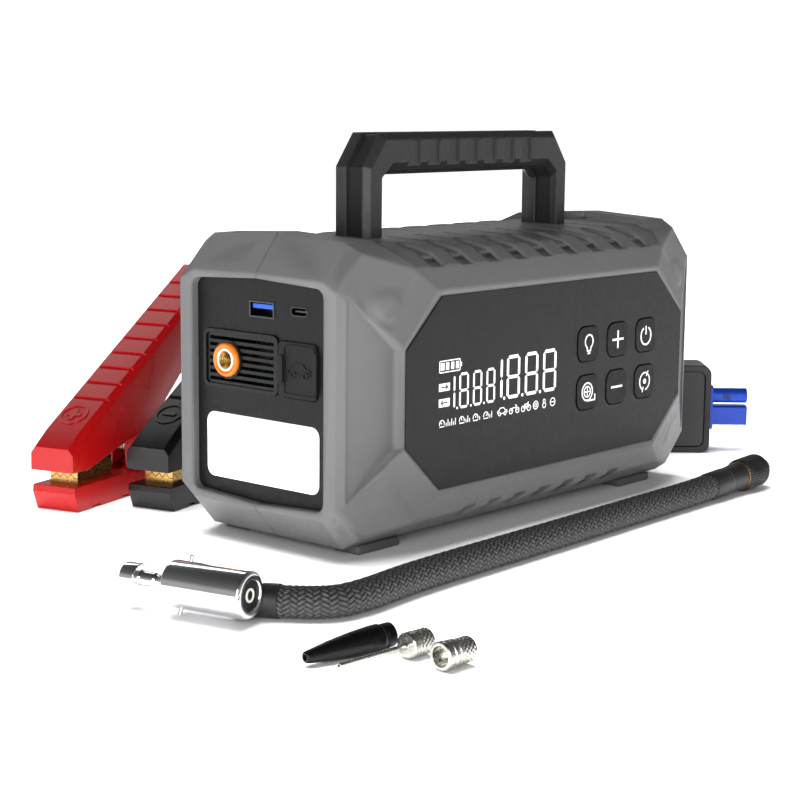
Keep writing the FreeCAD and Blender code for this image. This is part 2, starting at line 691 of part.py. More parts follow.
# ---------------------------------------------------------------- insides
cells = [box((6, 92), (y, y + 9.4), (16, 78)) for y in (-24, -14, -4, 6, 16)]
piece("battery_cells", group(*cells))
circuit = box((-84, 84), (36.4, 38.0), (20, 96))
parts_on = [rod((-60, 36.6, 40), "-y", 6, 12), rod((-60, 36.6, 60), "-y", 6, 12),
            box((20, 44), (30, 36.5), (80, 94)), box((-40, -16), (28.5, 36.5), (28, 52))]
piece("main_board", join(circuit, *parts_on))
piece("compressor_motor", join(rod((-58, 4, 66), "+x", 17.5, 50), rod((-8.2, 4, 66), "+x", 6, 3)))
case = box((-80, -58.2), (-16, 24), (44, 104))
barrel = rod((-69, 12, 92), "-x", 9, 25)
fins = [rod((-81.5 - 3.4 * i, 12, 92), "-x", 12, 1.5) for i in range(4)]
pipe = box((-100, -93.6), (12, 21), (69, 92))
feed = rod(("-portX + 13.4", "outletY", "outletZ"), "+x", 3.5, 7)
piece("compressor_head", join(case, barrel, pipe, feed, *fins))


# ---------------------------------------------------------------- clamps
# Own frame of a clamp: X from the nose backwards, Y across, Z up.
UPPER = [(-4.0, 17.6), (8.0, 17.6), (24.0, 22.0), (44.0, 26.5), (58.0, 31.0), (88.0, 55.0),
         (125.5, 80.5), (116.0, 97.6), (5.0, 34.4), (-3.8, 28.0)]
LOWER = [(0.0, 0.0), (124.0, 0.0), (127.0, 6.0), (124.0, 17.0), (64.0, 17.0), (42.0, 11.0),
         (-2.6, 11.0), (-3.0, 8.0)]


def on_top(a, b):
    """Edge test: a long edge of the upper arm's top or nose slope."""
    corners = UPPER[-3:]
    near = [any(math.hypot(p.x - x, p.z - z) < 0.01 for x, z in corners) for p in (a, b)]
    return all(near) and abs(a.y - b.y) < 1e-6


def zigzag(start, end):
    """Toothed line from start to end, its roots at the ends."""
    count = round((end - start) / DIM["toothPitch"])
    pitch = (end - start) / count
    points = [(start, 13.4)]
    for i in range(count):
        points += [(start + (i + 0.5) * pitch, 15.2), (start + (i + 1) * pitch, 13.4)]
    return points


def raised(teeth):
    """The same line above a small gap."""
    return [(a, z + 0.3) for a, z in teeth]


def clamp(prefix, spot):
    # Upper arm: tapered box section with rib notches and two pivot cheeks.
    arm = padded("xz", "-clampWide", 0, [UPPER], chamfers=(on_top, "armChamfer"))
    cheeks = []
    for y0, y1 in (("0", "4.4"), ("clampWide - 4.4", "clampWide")):
        cheeks.append(rod(("pivotS", y0, "pivotZ"), "+y", 6.4, "(%s) - (%s)" % (y1, y0)))
        cheeks.append(box(("pivotS - 6.4", "pivotS + 6.4"), (y0, y1), ("pivotZ", "pivotZ + 9")))
    notches = []
    turn = Rotation(Vector(0, 1, 0), -29.66)
    for i in range(9):
        at = DIM["notchFrom"] + i * DIM["notchPitch"]
        notch = doc.addObject("Part::Box", fresh("notch"))
        notch.Length, notch.Height = 1.8, 4.0
        notch.setExpression("Width", bound("clampWide + 2"))
        surface = Vector(at, -1, 34.4 + (at - 5) * 0.5694)
        notch.Placement = Placement(surface + turn.multVec(Vector(-0.9, 0, -1.2)), turn)
        notches.append(notch)
    hollow = padded("xz", "-clampWide + 4.6", -4.6,
                    [[(36.0, 10.0), (70.0, 10.0), (128.0, 70.0), (118.0, 86.0), (52.0, 47.0), (36.0, 30.0)]])
    bore = rod(("pivotS", -1, "pivotZ"), "+y", "pinRad", "clampWide + 2")
    piece(prefix + "_upper_arm", cut(join(arm, *cheeks), hollow, bore, *notches), spot)
    # Lower arm lies on the floor; a middle lug carries the pin.
    base = padded("xz", "-clampWide", 0, [LOWER])
    trough = box((62, 120), (4.5, "clampWide - 4.5"), (6, 30))
    relief = [box(("pivotS - 8", "pivotS + 8"), across, (10.2, 40))
              for across in ((-1, 4.8), ("clampWide - 4.8", "clampWide + 1"))]
    lugs = []
    for y0, y1 in (("5.0", "7.6"), ("clampWide - 7.6", "clampWide - 5.0")):
        lugs.append(rod(("pivotS", y0, "pivotZ"), "+y", 4.6, "(%s) - (%s)" % (y1, y0)))
        lugs.append(box(("pivotS - 4.6", "pivotS + 4.6"), (y0, y1), (8, "pivotZ")))
    dips = [box((10.3 + 22.2 * i, 16.0 + 22.2 * i), (-1, "clampWide + 1"), (-1, 1.3)) for i in range(5)]
    arch = box(("pivotS - 9", "pivotS + 9"), (7.6, "clampWide - 7.6"), (9.0, 40))
    arm2 = join(cut(base, trough, arch, *(relief + dips)), *lugs)
    cable_hole = rod((115, "clampWide/2", 10.5), "+x", 4.2, 20)
    bore2 = rod(("pivotS", -1, "pivotZ"), "+y", "pinRad", "clampWide + 2")
    piece(prefix + "_lower_arm", cut(arm2, bore2, cable_hole), spot)
    pin = rod(("pivotS", 0.2, "pivotZ"), "+y", "pinRad - 0.03", "clampWide - 0.4")
    piece(prefix + "_pivot_pin", pin, spot)
    coil = [rod(("pivotS", "7.9 + %s" % (1.3 * i), "pivotZ"), "+y", 4.2, 1.05) for i in range(5)]
    core = rod(("pivotS", 7.9, "pivotZ"), "+y", 3.4, 6.25)
    toe = box(("pivotS + 2.4", "pivotS + 8.4"), (8.0, 9.0), (9.0, "pivotZ"))
    spring_bore = rod(("pivotS", 7, "pivotZ"), "+y", "pinRad + 0.15", 10)
    piece(prefix + "_spring", cut(join(core, toe, *coil), spring_bore), spot)
    # Brass jaws: trays of bent sheet whose toothed rims mesh when closed.
    far = "clampWide - jawY"
    walls = (("jawY", "jawY + jawSheet"), (far + " - jawSheet", far))
    side_teeth = zigzag(DIM["jawFrom"], DIM["jawTo"])
    front_teeth = zigzag(number(walls[0][1]), number(walls[1][0]))
    low = [box(("jawFrom", "jawTo"), ("jawY", far), (11.0, 12.2))]
    high = [box(("jawTo - jawSheet", "jawTo"), ("jawY", far), (15.8, 22.6))]
    for y0, y1 in walls:
        rim = ["-(%s)" % y1, "-(%s)" % y0]
        low.append(padded("xz", rim[0], rim[1], [[("jawTo", 11.0), ("jawFrom", 11.0)] + side_teeth]))
        under = [("jawTo", 23.0), (24, 21.9), (8, 17.5), ("jawFrom", 17.5)]
        high.append(padded("xz", rim[0], rim[1], [under + raised(side_teeth)]))
    across = ("jawFrom", "jawFrom + jawSheet")
    ends = (walls[1][0], walls[0][1])
    low.append(padded("yz", across[0], across[1], [[(y, 11.0) for y in ends] + front_teeth]))
    high.append(padded("yz", across[0], across[1], [[(y, 17.5) for y in ends] + raised(front_teeth)]))
    piece(prefix + "_lower_jaw", join(*low), spot)
    piece(prefix + "_upper_jaw", join(*high), spot)


clamp("red", Placement(Vector(-128.2, 101.4, 0), Rotation(Vector(0, 0, 1), 15)))
clamp("black", Placement(Vector(-99.4, 72.7, 0), Rotation(Vector(0, 0, 1), 13)))

# ---------------------------------------------------------------- lead box
# Own frame: X along the box (plug at +X), Y away from the viewer side.
box_spot = Placement(Vector(179.7, -23.2, 0), Rotation(Vector(0, 0, 1), -49.1))
body = rounded(("-boxLong", 0), (0, "boxThick"), (0, "boxTall"), "y", 5.0)
pocket = rounded(("-boxLong + 3.2", -3.2), (-1, 1.4), (3.2, "boxTall - 3.2"), "y", 3.4)
inlet = [rod(("-boxLong - 1", y, "boxTall/2"), "+x", 3.6, 12) for y in (6.8, 15.2)]
well = box((-5, 1), around("boxThick/2", 4.6), around("boxTall/2", 10))
piece("lead_box", cut(body, pocket, well, *inlet), box_spot)
face = rounded(("-boxLong + 3.2", -3.2), (0.5, 1.4), (3.2, "boxTall - 3.2"), "y", 3.4)
piece("lead_box_face", face, box_spot)
flange = rounded((0, 2.0), around("boxThick/2", 6), around("boxTall/2", 11.2), "x", 1.5)
tang = box((-5, 0), around("boxThick/2", 4.6), around("boxTall/2", 10))
prong_a = rod((2, "boxThick/2", "boxTall/2 + 5.7"), "+x", 3.8, 17.8)
prong_b = rounded((2, 19.8), around("boxThick/2", 4.2), ("boxTall/2 - 9.2", "boxTall/2 + 0.7"), "x", 1.4)
bores = [rod((5, "boxThick/2", "boxTall/2 + %s" % z), "+x", 2.3, 16) for z in ("5.7", "(-4.25)")]
piece("lead_plug", cut(join(flange, tang, prong_a, prong_b), *bores), box_spot)


# ---------------------------------------------------------------- air hose
HOSE = [(-186.2, -77.5, 6.1), (-178.5, -90.6, 6.1), (-163.0, -93.6, 6.1), (-135.0, -89.9, 6.1),
        (-100.0, -88.6, 6.1), (-52.0, -87.9, 6.1), (0.0, -86.4, 6.1), (40.0, -85.2, 6.1),
        (62.0, -84.9, 6.1), (78.8, -84.5, 6.66)]


def tube_path(points):
    """Straight runs joined by tangent arcs as large as the runs allow."""
    pts = [Vector(*p) for p in points]
    edges, radii, here = [], [], pts[0]
    for a, b, c in zip(pts, pts[1:], pts[2:]):
        u, v = (b - a), (c - b)
        run = min(u.Length, v.Length)
        turn = u.getAngle(v)
        radius = 0.45 * run / math.tan(turn / 2)
        radii.append(radius)
        back = 0.45 * run
        u.normalize()
        v.normalize()
        start, stop = b - u * back, b + v * back
        inward = (v - u)
        inward.normalize()
        middle = b + inward * (radius / math.cos(turn / 2) - radius)
        edges.append(Part.LineSegment(here, start).toShape())
        edges.append(Part.Arc(start, middle, stop).toShape())
        here = stop
    edges.append(Part.LineSegment(here, pts[-1]).toShape())
    return Part.Wire(edges), radii


path, radii = tube_path(HOSE)
start_dir = Vector(*HOSE[1]) - Vector(*HOSE[0])
section = Part.Wire(Part.Circle(Vector(*HOSE[0]), start_dir, DIM["hoseRad"]).toShape())
tube = path.makePipeShell([section], True, True)
area = math.pi * DIM["hoseRad"] ** 2
print("hose length %.1f mm, radii %s" % (path.Length, ["%.0f" % r for r in radii]))
print("hose volume ratio %.4f" % (tube.Volume / (area * path.Length)))
if abs(tube.Volume / (area * path.Length) - 1) > 0.01:
    raise ValueError("hose volume")
piece("hose", made(tube))


def along(point, direction, back=0.0):
    """Placement whose +Z axis follows `direction`, starting `back` before."""
    d = Vector(*direction)
    d.normalize()
    return Placement(Vector(*point) - d * back, Rotation(Vector(0, 0, 1), d))


def spun(profile, spot):
    """Revolved piece in its own frame about Z, then placed."""
    body = doc.addObject("PartDesign::Body", fresh("turned"))
    sketch = sketch_on(body, "xz", 0, [profile])
    rev = body.newObject("PartDesign::Revolution", fresh("revolution"))
    rev.Profile = sketch
    rev.ReferenceAxis = (sketch, ["V_Axis"])
    rev.Angle = 360
    doc.recompute()
    body.Placement = spot
    return body


# Air plug: chrome barrel lying across the hose end, cap face towards -Y.
plug_dir = Vector(math.cos(math.radians(102.4)), math.sin(math.radians(102.4)), 0)
plug_at = Vector(-200.6, -78.2, 11.0)
plug_spot = Placement(plug_at, Rotation(Vector(0, 0, 1), plug_dir))
barrel = spun([(0, 1.6), (5.4, 1.6), (5.4, 0), ("barrelRad - 1.2", 0), ("barrelRad", 1.2),
               ("barrelRad", "barrelLen - 1.2"), ("barrelRad - 1.2", "barrelLen"), (0, "barrelLen")],
              plug_spot)
pins = []
for way in (1, -1):
    pin = doc.addObject("Part::Cylinder", fresh("pin"))
    pin.Radius, pin.Height = 0.8, 2.3
    pin.Placement = Placement(plug_at + plug_dir * 27.0 + Vector(0, 0, way * (DIM["barrelRad"] - 0.1)),
                              TURNS["+z"] if way > 0 else TURNS["-z"])
    pins.append(pin)
hose_dir = Vector(*HOSE[1]) - Vector(*HOSE[0])
hose_dir.z = 0
hose_dir.normalize()
sleeve_bore = doc.addObject("Part::Cylinder", fresh("bore"))
sleeve_bore.setExpression("Radius", bound("sleeveRad"))
sleeve_bore.Height = 18.0
sleeve_bore.Placement = along(HOSE[0], hose_dir, 16.0)
piece("air_plug_barrel", cut(join(barrel, *pins), sleeve_bore))
insert = [(1.5, 0.3), (2.4, 0.3), (2.4, 0.9), (5.3, 0.9), (5.3, 1.6), (0, 1.6), (0, 0.9), (1.5, 0.9)]
piece("air_plug_insert", spun(insert, plug_spot))
stem = spun([(0, "barrelLen"), (2.7, "barrelLen"), (2.7, "barrelLen + 13"), (5.2, "barrelLen + 13"),
             (5.2, "barrelLen + 19"), (4.2, "barrelLen + 20"), (0, "barrelLen + 20")], plug_spot)
piece("air_plug_stem", stem)
sleeve = doc.addObject("Part::Cylinder", fresh("sleeve"))
sleeve.setExpression("Radius", bound("sleeveRad"))
sleeve.Height = 16.0
sleeve.Placement = along(HOSE[0], hose_dir, 16.0)
keep = doc.addObject("Part::Cylinder", fresh("keep"))
keep.setExpression("Radius", bound("barrelRad - 3.0"))
keep.setExpression("Height", bound("barrelLen - 4"))
keep.Placement = Placement(plug_at + plug_dir * 1.6, Rotation(Vector(0, 0, 1), plug_dir))
piece("hose_sleeve", cut(sleeve, keep))

# Screw-on chuck at the other end: sleeve, knurled collar, brass core.
end_dir = Vector(*HOSE[-1]) - Vector(*HOSE[-2])
chuck_spot = along(HOSE[-1], end_dir)
neck = [(0, 0), ("sleeveRad", 0), ("sleeveRad", 13.8), (5.8, 14.4), (5.8, 15.2), (6.4, 26),
        (6.4, 27.2), (0, 27.2)]
piece("chuck_sleeve", spun(neck, chuck_spot))
core = [(0, 27.2), (3.6, 27.2), (3.6, 45.15), (4.8, 45.15), (4.8, 48.8), (3.7, 50), (1.6, 50),
        (1.6, 43), (0, 43)]
piece("chuck_core", spun(core, chuck_spot))
collar = [(3.68, 27.7), (6.8, 27.7), ("collarRad", 28.8), ("collarRad", 43.4), (6.2, 45), (3.68, 45)]
piece("chuck_collar", spun(collar, chuck_spot))

# ---------------------------------------------------------------- adapters
def lying(tip, tilt, heading=0.0):
    turn = Rotation(Vector(0, 0, 1), heading).multiply(Rotation(Vector(0, 1, 0), 90 - tilt))
    return Placement(Vector(*tip), turn)


nozzle = [(1.0, 0), (1.6, 0), (2.0, 0.5), (2.2, 2), (3.35, 9.8), (4.2, 18.7), (4.6, 26.5), (4.6, 29.3),
          (4.0, 30.2), (4.0, 31), (4.15, 31.2), (4.15, 34.4), (3.0, 34.4), (3.0, 26), (1.0, 17)]
needle = [(0.45, 0), (0.75, 0), (0.9, 0.3), (0.9, 29), (1.3, 29.8), (3.9, 29.8), (4.4, 30.4), (4.4, 32.6),
          (4.1, 33), (4.1, 33.4), (4.3, 33.7), (4.3, 39.2), (2.6, 39.2), (2.6, 32.4), (0.45, 31.4)]
valve = [(3.4, 0), (4.4, 0), (4.8, 0.5), (4.8, 2), (4.2, 2.4), (4.2, 3), (4.6, 3.3), (4.6, 4.6), (4.1, 5),
         (4.1, 5.5), (4.5, 5.7), (4.5, 6.4), (4.3, 6.7), (4.3, 12.8), (2.7, 12.8), (2.7, 8), (1.4, 8),
         (1.4, 5), (3.4, 5)]
piece("nozzle_adapter", spun(nozzle, lying((-221.0, -122.6, 3.18), 2.9, -10.8)))
piece("needle_adapter", spun(needle, lying((-222.7, -138.8, 4.43), 0.0, -3.3)))
piece("valve_adapter", spun(valve, lying((-195.3, -156.7, 4.83), 0.0, -4.0)))

# ---------------------------------------------------------------- checks, export
doc.recompute()
bad = [o.Name for o in doc.Objects if "Invalid" in o.State or "Error" in o.State]
if bad:
    raise ValueError("failed objects: " + ", ".join(bad))
if len(PIECES) > 60 or len(set(o.Label for o in PIECES)) != len(PIECES):
    raise ValueError("piece names")
for obj in PIECES:
    shape = obj.Shape
    if shape.isNull() or not shape.isValid() or not shape.Solids:
        raise ValueError("bad shape " + obj.Label)
    bb = shape.BoundBox
    print("%-20s solids %d vol %9.1f  x %7.1f %7.1f  y %7.1f %7.1f  z %6.2f %6.2f" % (
        obj.Label, len(shape.Solids), shape.Volume,
        bb.XMin, bb.XMax, bb.YMin, bb.YMax, bb.ZMin, bb.ZMax))
    shape.exportStep("parts/%s.step" % obj.Label)
print("pieces", len(PIECES))
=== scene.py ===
import json
import math
import bmesh
import bpy
from mathutils import Matrix, Vector


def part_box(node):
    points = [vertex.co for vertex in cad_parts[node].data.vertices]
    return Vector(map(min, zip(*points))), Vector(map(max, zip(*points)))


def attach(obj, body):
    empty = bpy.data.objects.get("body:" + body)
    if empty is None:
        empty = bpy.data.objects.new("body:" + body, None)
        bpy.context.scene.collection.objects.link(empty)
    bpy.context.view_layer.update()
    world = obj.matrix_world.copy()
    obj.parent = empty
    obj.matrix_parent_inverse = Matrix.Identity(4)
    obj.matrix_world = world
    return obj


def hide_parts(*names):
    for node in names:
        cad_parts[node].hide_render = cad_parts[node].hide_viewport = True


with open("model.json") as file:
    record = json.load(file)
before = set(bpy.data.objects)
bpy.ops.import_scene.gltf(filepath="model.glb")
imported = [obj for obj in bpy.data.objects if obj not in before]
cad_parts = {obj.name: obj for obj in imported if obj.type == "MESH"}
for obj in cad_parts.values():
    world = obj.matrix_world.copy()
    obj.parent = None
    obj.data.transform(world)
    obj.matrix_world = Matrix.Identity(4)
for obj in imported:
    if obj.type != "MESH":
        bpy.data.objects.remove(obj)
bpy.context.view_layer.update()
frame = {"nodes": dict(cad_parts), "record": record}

# Looks of a jump starter pack with its clamps, lead box, air hose and adapters.
# Lengths in the tables below are in millimetres and become metres through MM. HOSE_LENGTH and the
# stage are in metres.
MM = 0.001
NODES = frame["nodes"]
BODY_OF = {node: body for body, nodes in frame["record"]["behaviour"]["bodies"].items() for node in nodes}
AXIS_X, AXIS_Y, AXIS_Z = Vector((1, 0, 0)), Vector((0, 1, 0)), Vector((0, 0, 1))


def mm(*values):
    return Vector(values) * MM


def middle(node):
    low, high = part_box(node)
    return (low + high) / 2


def turned_about_z(x, y, degrees):
    """Frame of a piece that stands on the floor, turned about the vertical."""
    return Matrix.Translation(mm(x, y, 0)) @ Matrix.Rotation(math.radians(degrees), 4, "Z")


def spot_along(point, direction):
    """Frame at a point in millimetres whose +Z follows a direction."""
    turn = Vector(direction).normalized().to_track_quat("Z", "Y").to_matrix().to_4x4()
    return Matrix.Translation(mm(*point)) @ turn


CLAMP_SPOTS = {"red": turned_about_z(-128.2, 101.4, 15), "black": turned_about_z(-99.4, 72.7, 13)}
BOX_SPOT = turned_about_z(179.7, -23.2, -49.1)


# ---------------------------------------- camera
CAMERA_AT = mm(-629.63, -515.54, 178.14)
YAW, PITCH, ROLL = 0.85662, 0.16159, 0.00971
LENS, SENSOR = 83.752, 36.0


def make_camera():
    forward = Vector((math.sin(YAW) * math.cos(PITCH), math.cos(YAW) * math.cos(PITCH), -math.sin(PITCH)))
    level = Vector((math.cos(YAW), -math.sin(YAW), 0))
    upright = level.cross(forward)
    right = level * math.cos(ROLL) + upright * math.sin(ROLL)
    up = upright * math.cos(ROLL) - level * math.sin(ROLL)
    data = bpy.data.cameras.new("camera")
    data.lens, data.sensor_width = LENS, SENSOR
    data.clip_start, data.clip_end = 0.01, 50
    camera = bpy.data.objects.new("camera", data)
    bpy.context.scene.collection.objects.link(camera)
    turn = Matrix((right, up, -forward)).transposed().to_4x4()
    camera.matrix_world = Matrix.Translation(CAMERA_AT) @ turn
    bpy.context.scene.camera = camera


# ---------------------------------------- materials
def linear(value):
    value /= 255
    return value / 12.92 if value <= 0.04045 else ((value + 0.055) / 1.055) ** 2.4


def colour(red, green, blue):
    """A display colour, 0 to 255, as the shader wants it."""
    return (linear(red), linear(green), linear(blue), 1)


class Look:
    """A material's node tree, with the few nodes that the finishes below share."""

    def __init__(self, name, **sockets):
        self.material = bpy.data.materials.new(name)
        self.material.use_nodes = True
        self.tree = self.material.node_tree
        self.shader = self.tree.nodes["Principled BSDF"]
        self.place = self.tree.nodes.new("ShaderNodeTexCoord").outputs["Object"]
        self.height = None
        for socket, value in sockets.items():
            self.shader.inputs[socket.replace("_", " ")].default_value = value

    def node(self, kind, **settings):
        made = self.tree.nodes.new(kind)
        for key, value in settings.items():
            setattr(made, key, value)
        return made

    def link(self, source, target):
        self.tree.links.new(source, target)

    def noise(self, scale, detail=3.0, roughness=0.5, stretch=None):
        texture = self.node("ShaderNodeTexNoise")
        texture.inputs["Scale"].default_value = scale
        texture.inputs["Detail"].default_value = detail
        texture.inputs["Roughness"].default_value = roughness
        place = self.place
        if stretch:
            mapping = self.node("ShaderNodeMapping")
            mapping.inputs["Scale"].default_value = stretch
            self.link(place, mapping.inputs["Vector"])
            place = mapping.outputs["Vector"]
        self.link(place, texture.inputs["Vector"])
        return texture.outputs["Fac"]

    def grains(self, scale):
        texture = self.node("ShaderNodeTexVoronoi", feature="SMOOTH_F1")
        texture.inputs["Scale"].default_value = scale
        self.link(self.place, texture.inputs["Vector"])
        return texture.outputs["Distance"]

    def spread(self, source, low, high, start=0.3, end=0.7):
        """Maps a texture to the range low..high."""
        ramp = self.node("ShaderNodeMapRange")
        for socket, value in zip(("From Min", "From Max", "To Min", "To Max"), (start, end, low, high)):
            ramp.inputs[socket].default_value = value
        self.link(source, ramp.inputs["Value"])
        return ramp.outputs["Result"]

    def mix(self, factor, first, second):
        """Colour mix; first and second are colours or sockets."""
        blend = self.node("ShaderNodeMix", data_type="RGBA")
        self.link(factor, blend.inputs["Factor"])
        for socket, value in ((6, first), (7, second)):
            if isinstance(value, tuple):
                blend.inputs[socket].default_value = value
            else:
                self.link(value, blend.inputs[socket])
        return blend.outputs[2]

    def paint(self, source):
        self.link(source, self.shader.inputs["Base Color"])

    def rough(self, source):
        self.link(source, self.shader.inputs["Roughness"])

    def soften(self, radius):
        """Shades the edges as if they were rounded, radius in millimetres."""
        bevel = self.node("ShaderNodeBevel", samples=6)
        bevel.inputs["Radius"].default_value = radius * MM
        self.height = bevel.outputs["Normal"]
        self.link(self.height, self.shader.inputs["Normal"])

    def bump(self, source, depth):
        """Adds surface relief, depth in millimetres, over any that is there."""
        relief = self.node("ShaderNodeBump")
        relief.inputs["Strength"].default_value = 1.0
        relief.inputs["Distance"].default_value = depth * MM
        self.link(source, relief.inputs["Height"])
        if self.height:
            self.link(self.height, relief.inputs["Normal"])
        self.height = relief.outputs["Normal"]
        self.link(self.height, self.shader.inputs["Normal"])


def shaded(rgba, factor):
    return (rgba[0] * factor, rgba[1] * factor, rgba[2] * factor, 1)


def moulded(name, rgba, roughness, grain=0.02, grain_size=0.45, variation=0.1, gloss=0.0, edge_highlight=0.0,
            specular=0.4, soft=0.0):
    """Moulded plastic: fine spark-erosion grain, faint mottling, and sharp edges lightened in the colour as a
    painted highlight.
    """
    look = Look(name, Roughness=roughness, IOR=1.5, Coat_Weight=gloss, Coat_Roughness=0.12,
                Specular_IOR_Level=specular)
    if soft:
        look.soften(soft)
    cloudy = look.spread(look.noise(38, 4), 0, 1)
    tone = look.mix(cloudy, shaded(rgba, 1 - variation), shaded(rgba, 1 + variation))
    if edge_highlight:
        # Painted highlight: sharp edges, found by pointiness, are mixed towards a lighter copy of the colour.
        geometry = look.node("ShaderNodeNewGeometry")
        edge = look.spread(geometry.outputs["Pointiness"], 0, edge_highlight, 0.51, 0.6)
        tone = look.mix(edge, tone, shaded(rgba, 1.9))
    look.paint(tone)
    mottle = look.noise(420, 5) if grain else look.noise(60, 1)
    look.rough(look.spread(mottle, roughness * 0.86, min(1, roughness * 1.14)))
    if grain:
        look.bump(look.grains(1000 / grain_size), grain)
        look.bump(look.noise(2600, 2), grain * 0.6)
    return look.material


def metal(name, rgba, roughness, stretch=(1, 1, 1), scratch=0.004, tarnish=0.12):
    """Plated or machined metal with drawn scratches and a slight tarnish."""
    look = Look(name, Metallic=1.0, Roughness=roughness)
    stain = look.spread(look.noise(150, 4), 0, 1)
    look.paint(look.mix(stain, shaded(rgba, 1 - tarnish), rgba))
    lines = look.noise(900, 6, 0.65, stretch)
    look.rough(look.spread(lines, roughness * 0.7, roughness * 1.5))
    look.bump(lines, scratch)
    return look.material


def rubber(name, rgba, roughness=0.72):
    """Matt rubber with an uneven, dusty skin."""
    look = Look(name, Roughness=roughness, Sheen_Weight=0.06, Sheen_Roughness=0.4, Specular_IOR_Level=0.25)
    look.paint(look.mix(look.spread(look.noise(60, 5), 0, 1), shaded(rgba, 0.8), shaded(rgba, 1.25)))
    look.rough(look.spread(look.noise(700, 4), roughness * 0.85, roughness))
    look.bump(look.noise(1500, 4), 0.03)
    return look.material


def printed(name, rgba, roughness=0.5, glow=0.0):
    """Printing ink, faintly lit where it has a glow."""
    look = Look(name, Roughness=roughness, Emission_Strength=glow, Emission_Color=rgba)
    look.paint(look.mix(look.spread(look.noise(900, 3), 0, 1), shaded(rgba, 0.93), rgba))
    look.bump(look.noise(2200, 2), 0.01)
    return look.material


def diffuser(name):
    """Opal light cover, lit faintly from behind and prismed on the inside."""
    white = colour(252, 252, 252)
    look = Look(name, Roughness=0.35, IOR=1.49, Emission_Color=white, Emission_Strength=0.62)
    cells = look.grains(620)
    look.paint(look.mix(look.spread(cells, 0, 1), white, shaded(white, 0.95)))
    look.rough(look.spread(look.noise(300), 0.3, 0.42))
    look.bump(cells, 0.03)
    return look.material


def braided(name):
    """Braid yarn: strand crowns in grey as a painted highlight, and painted shade darkening the colour
    towards the bottom of the weave.
    """
    look = Look(name, Roughness=0.5, Sheen_Weight=0.05, Sheen_Roughness=0.5)
    depth = look.node("ShaderNodeAttribute", attribute_name="yarn").outputs["Fac"]
    crown_highlight = look.mix(look.spread(look.noise(1800, 4), 0, 1), colour(52, 52, 54), colour(88, 88, 90))
    # Painted shade and highlight: the weave's height mixes near-black in its hollows with the lighter crown
    # colour.
    look.paint(look.mix(look.spread(depth, 0, 1, 0.25, 0.92), colour(5, 5, 6), crown_highlight))
    look.rough(look.spread(look.noise(900, 3), 0.42, 0.62))
    look.bump(look.noise(5200, 2), 0.02)
    return look.material


def circuit(name):
    """Circuit board: green lacquer over a grid of tracks."""
    look = Look(name, Roughness=0.45, Coat_Weight=0.3)
    traces = look.node("ShaderNodeTexBrick")
    traces.inputs["Scale"].default_value = 260
    traces.inputs["Color1"].default_value = colour(18, 70, 44)
    traces.inputs["Color2"].default_value = colour(24, 88, 54)
    traces.inputs["Mortar"].default_value = colour(120, 110, 60)
    look.link(look.place, traces.inputs["Vector"])
    look.paint(traces.outputs["Color"])
    look.rough(look.spread(look.noise(300), 0.35, 0.55))
    look.bump(traces.outputs["Fac"], 0.04)
    return look.material


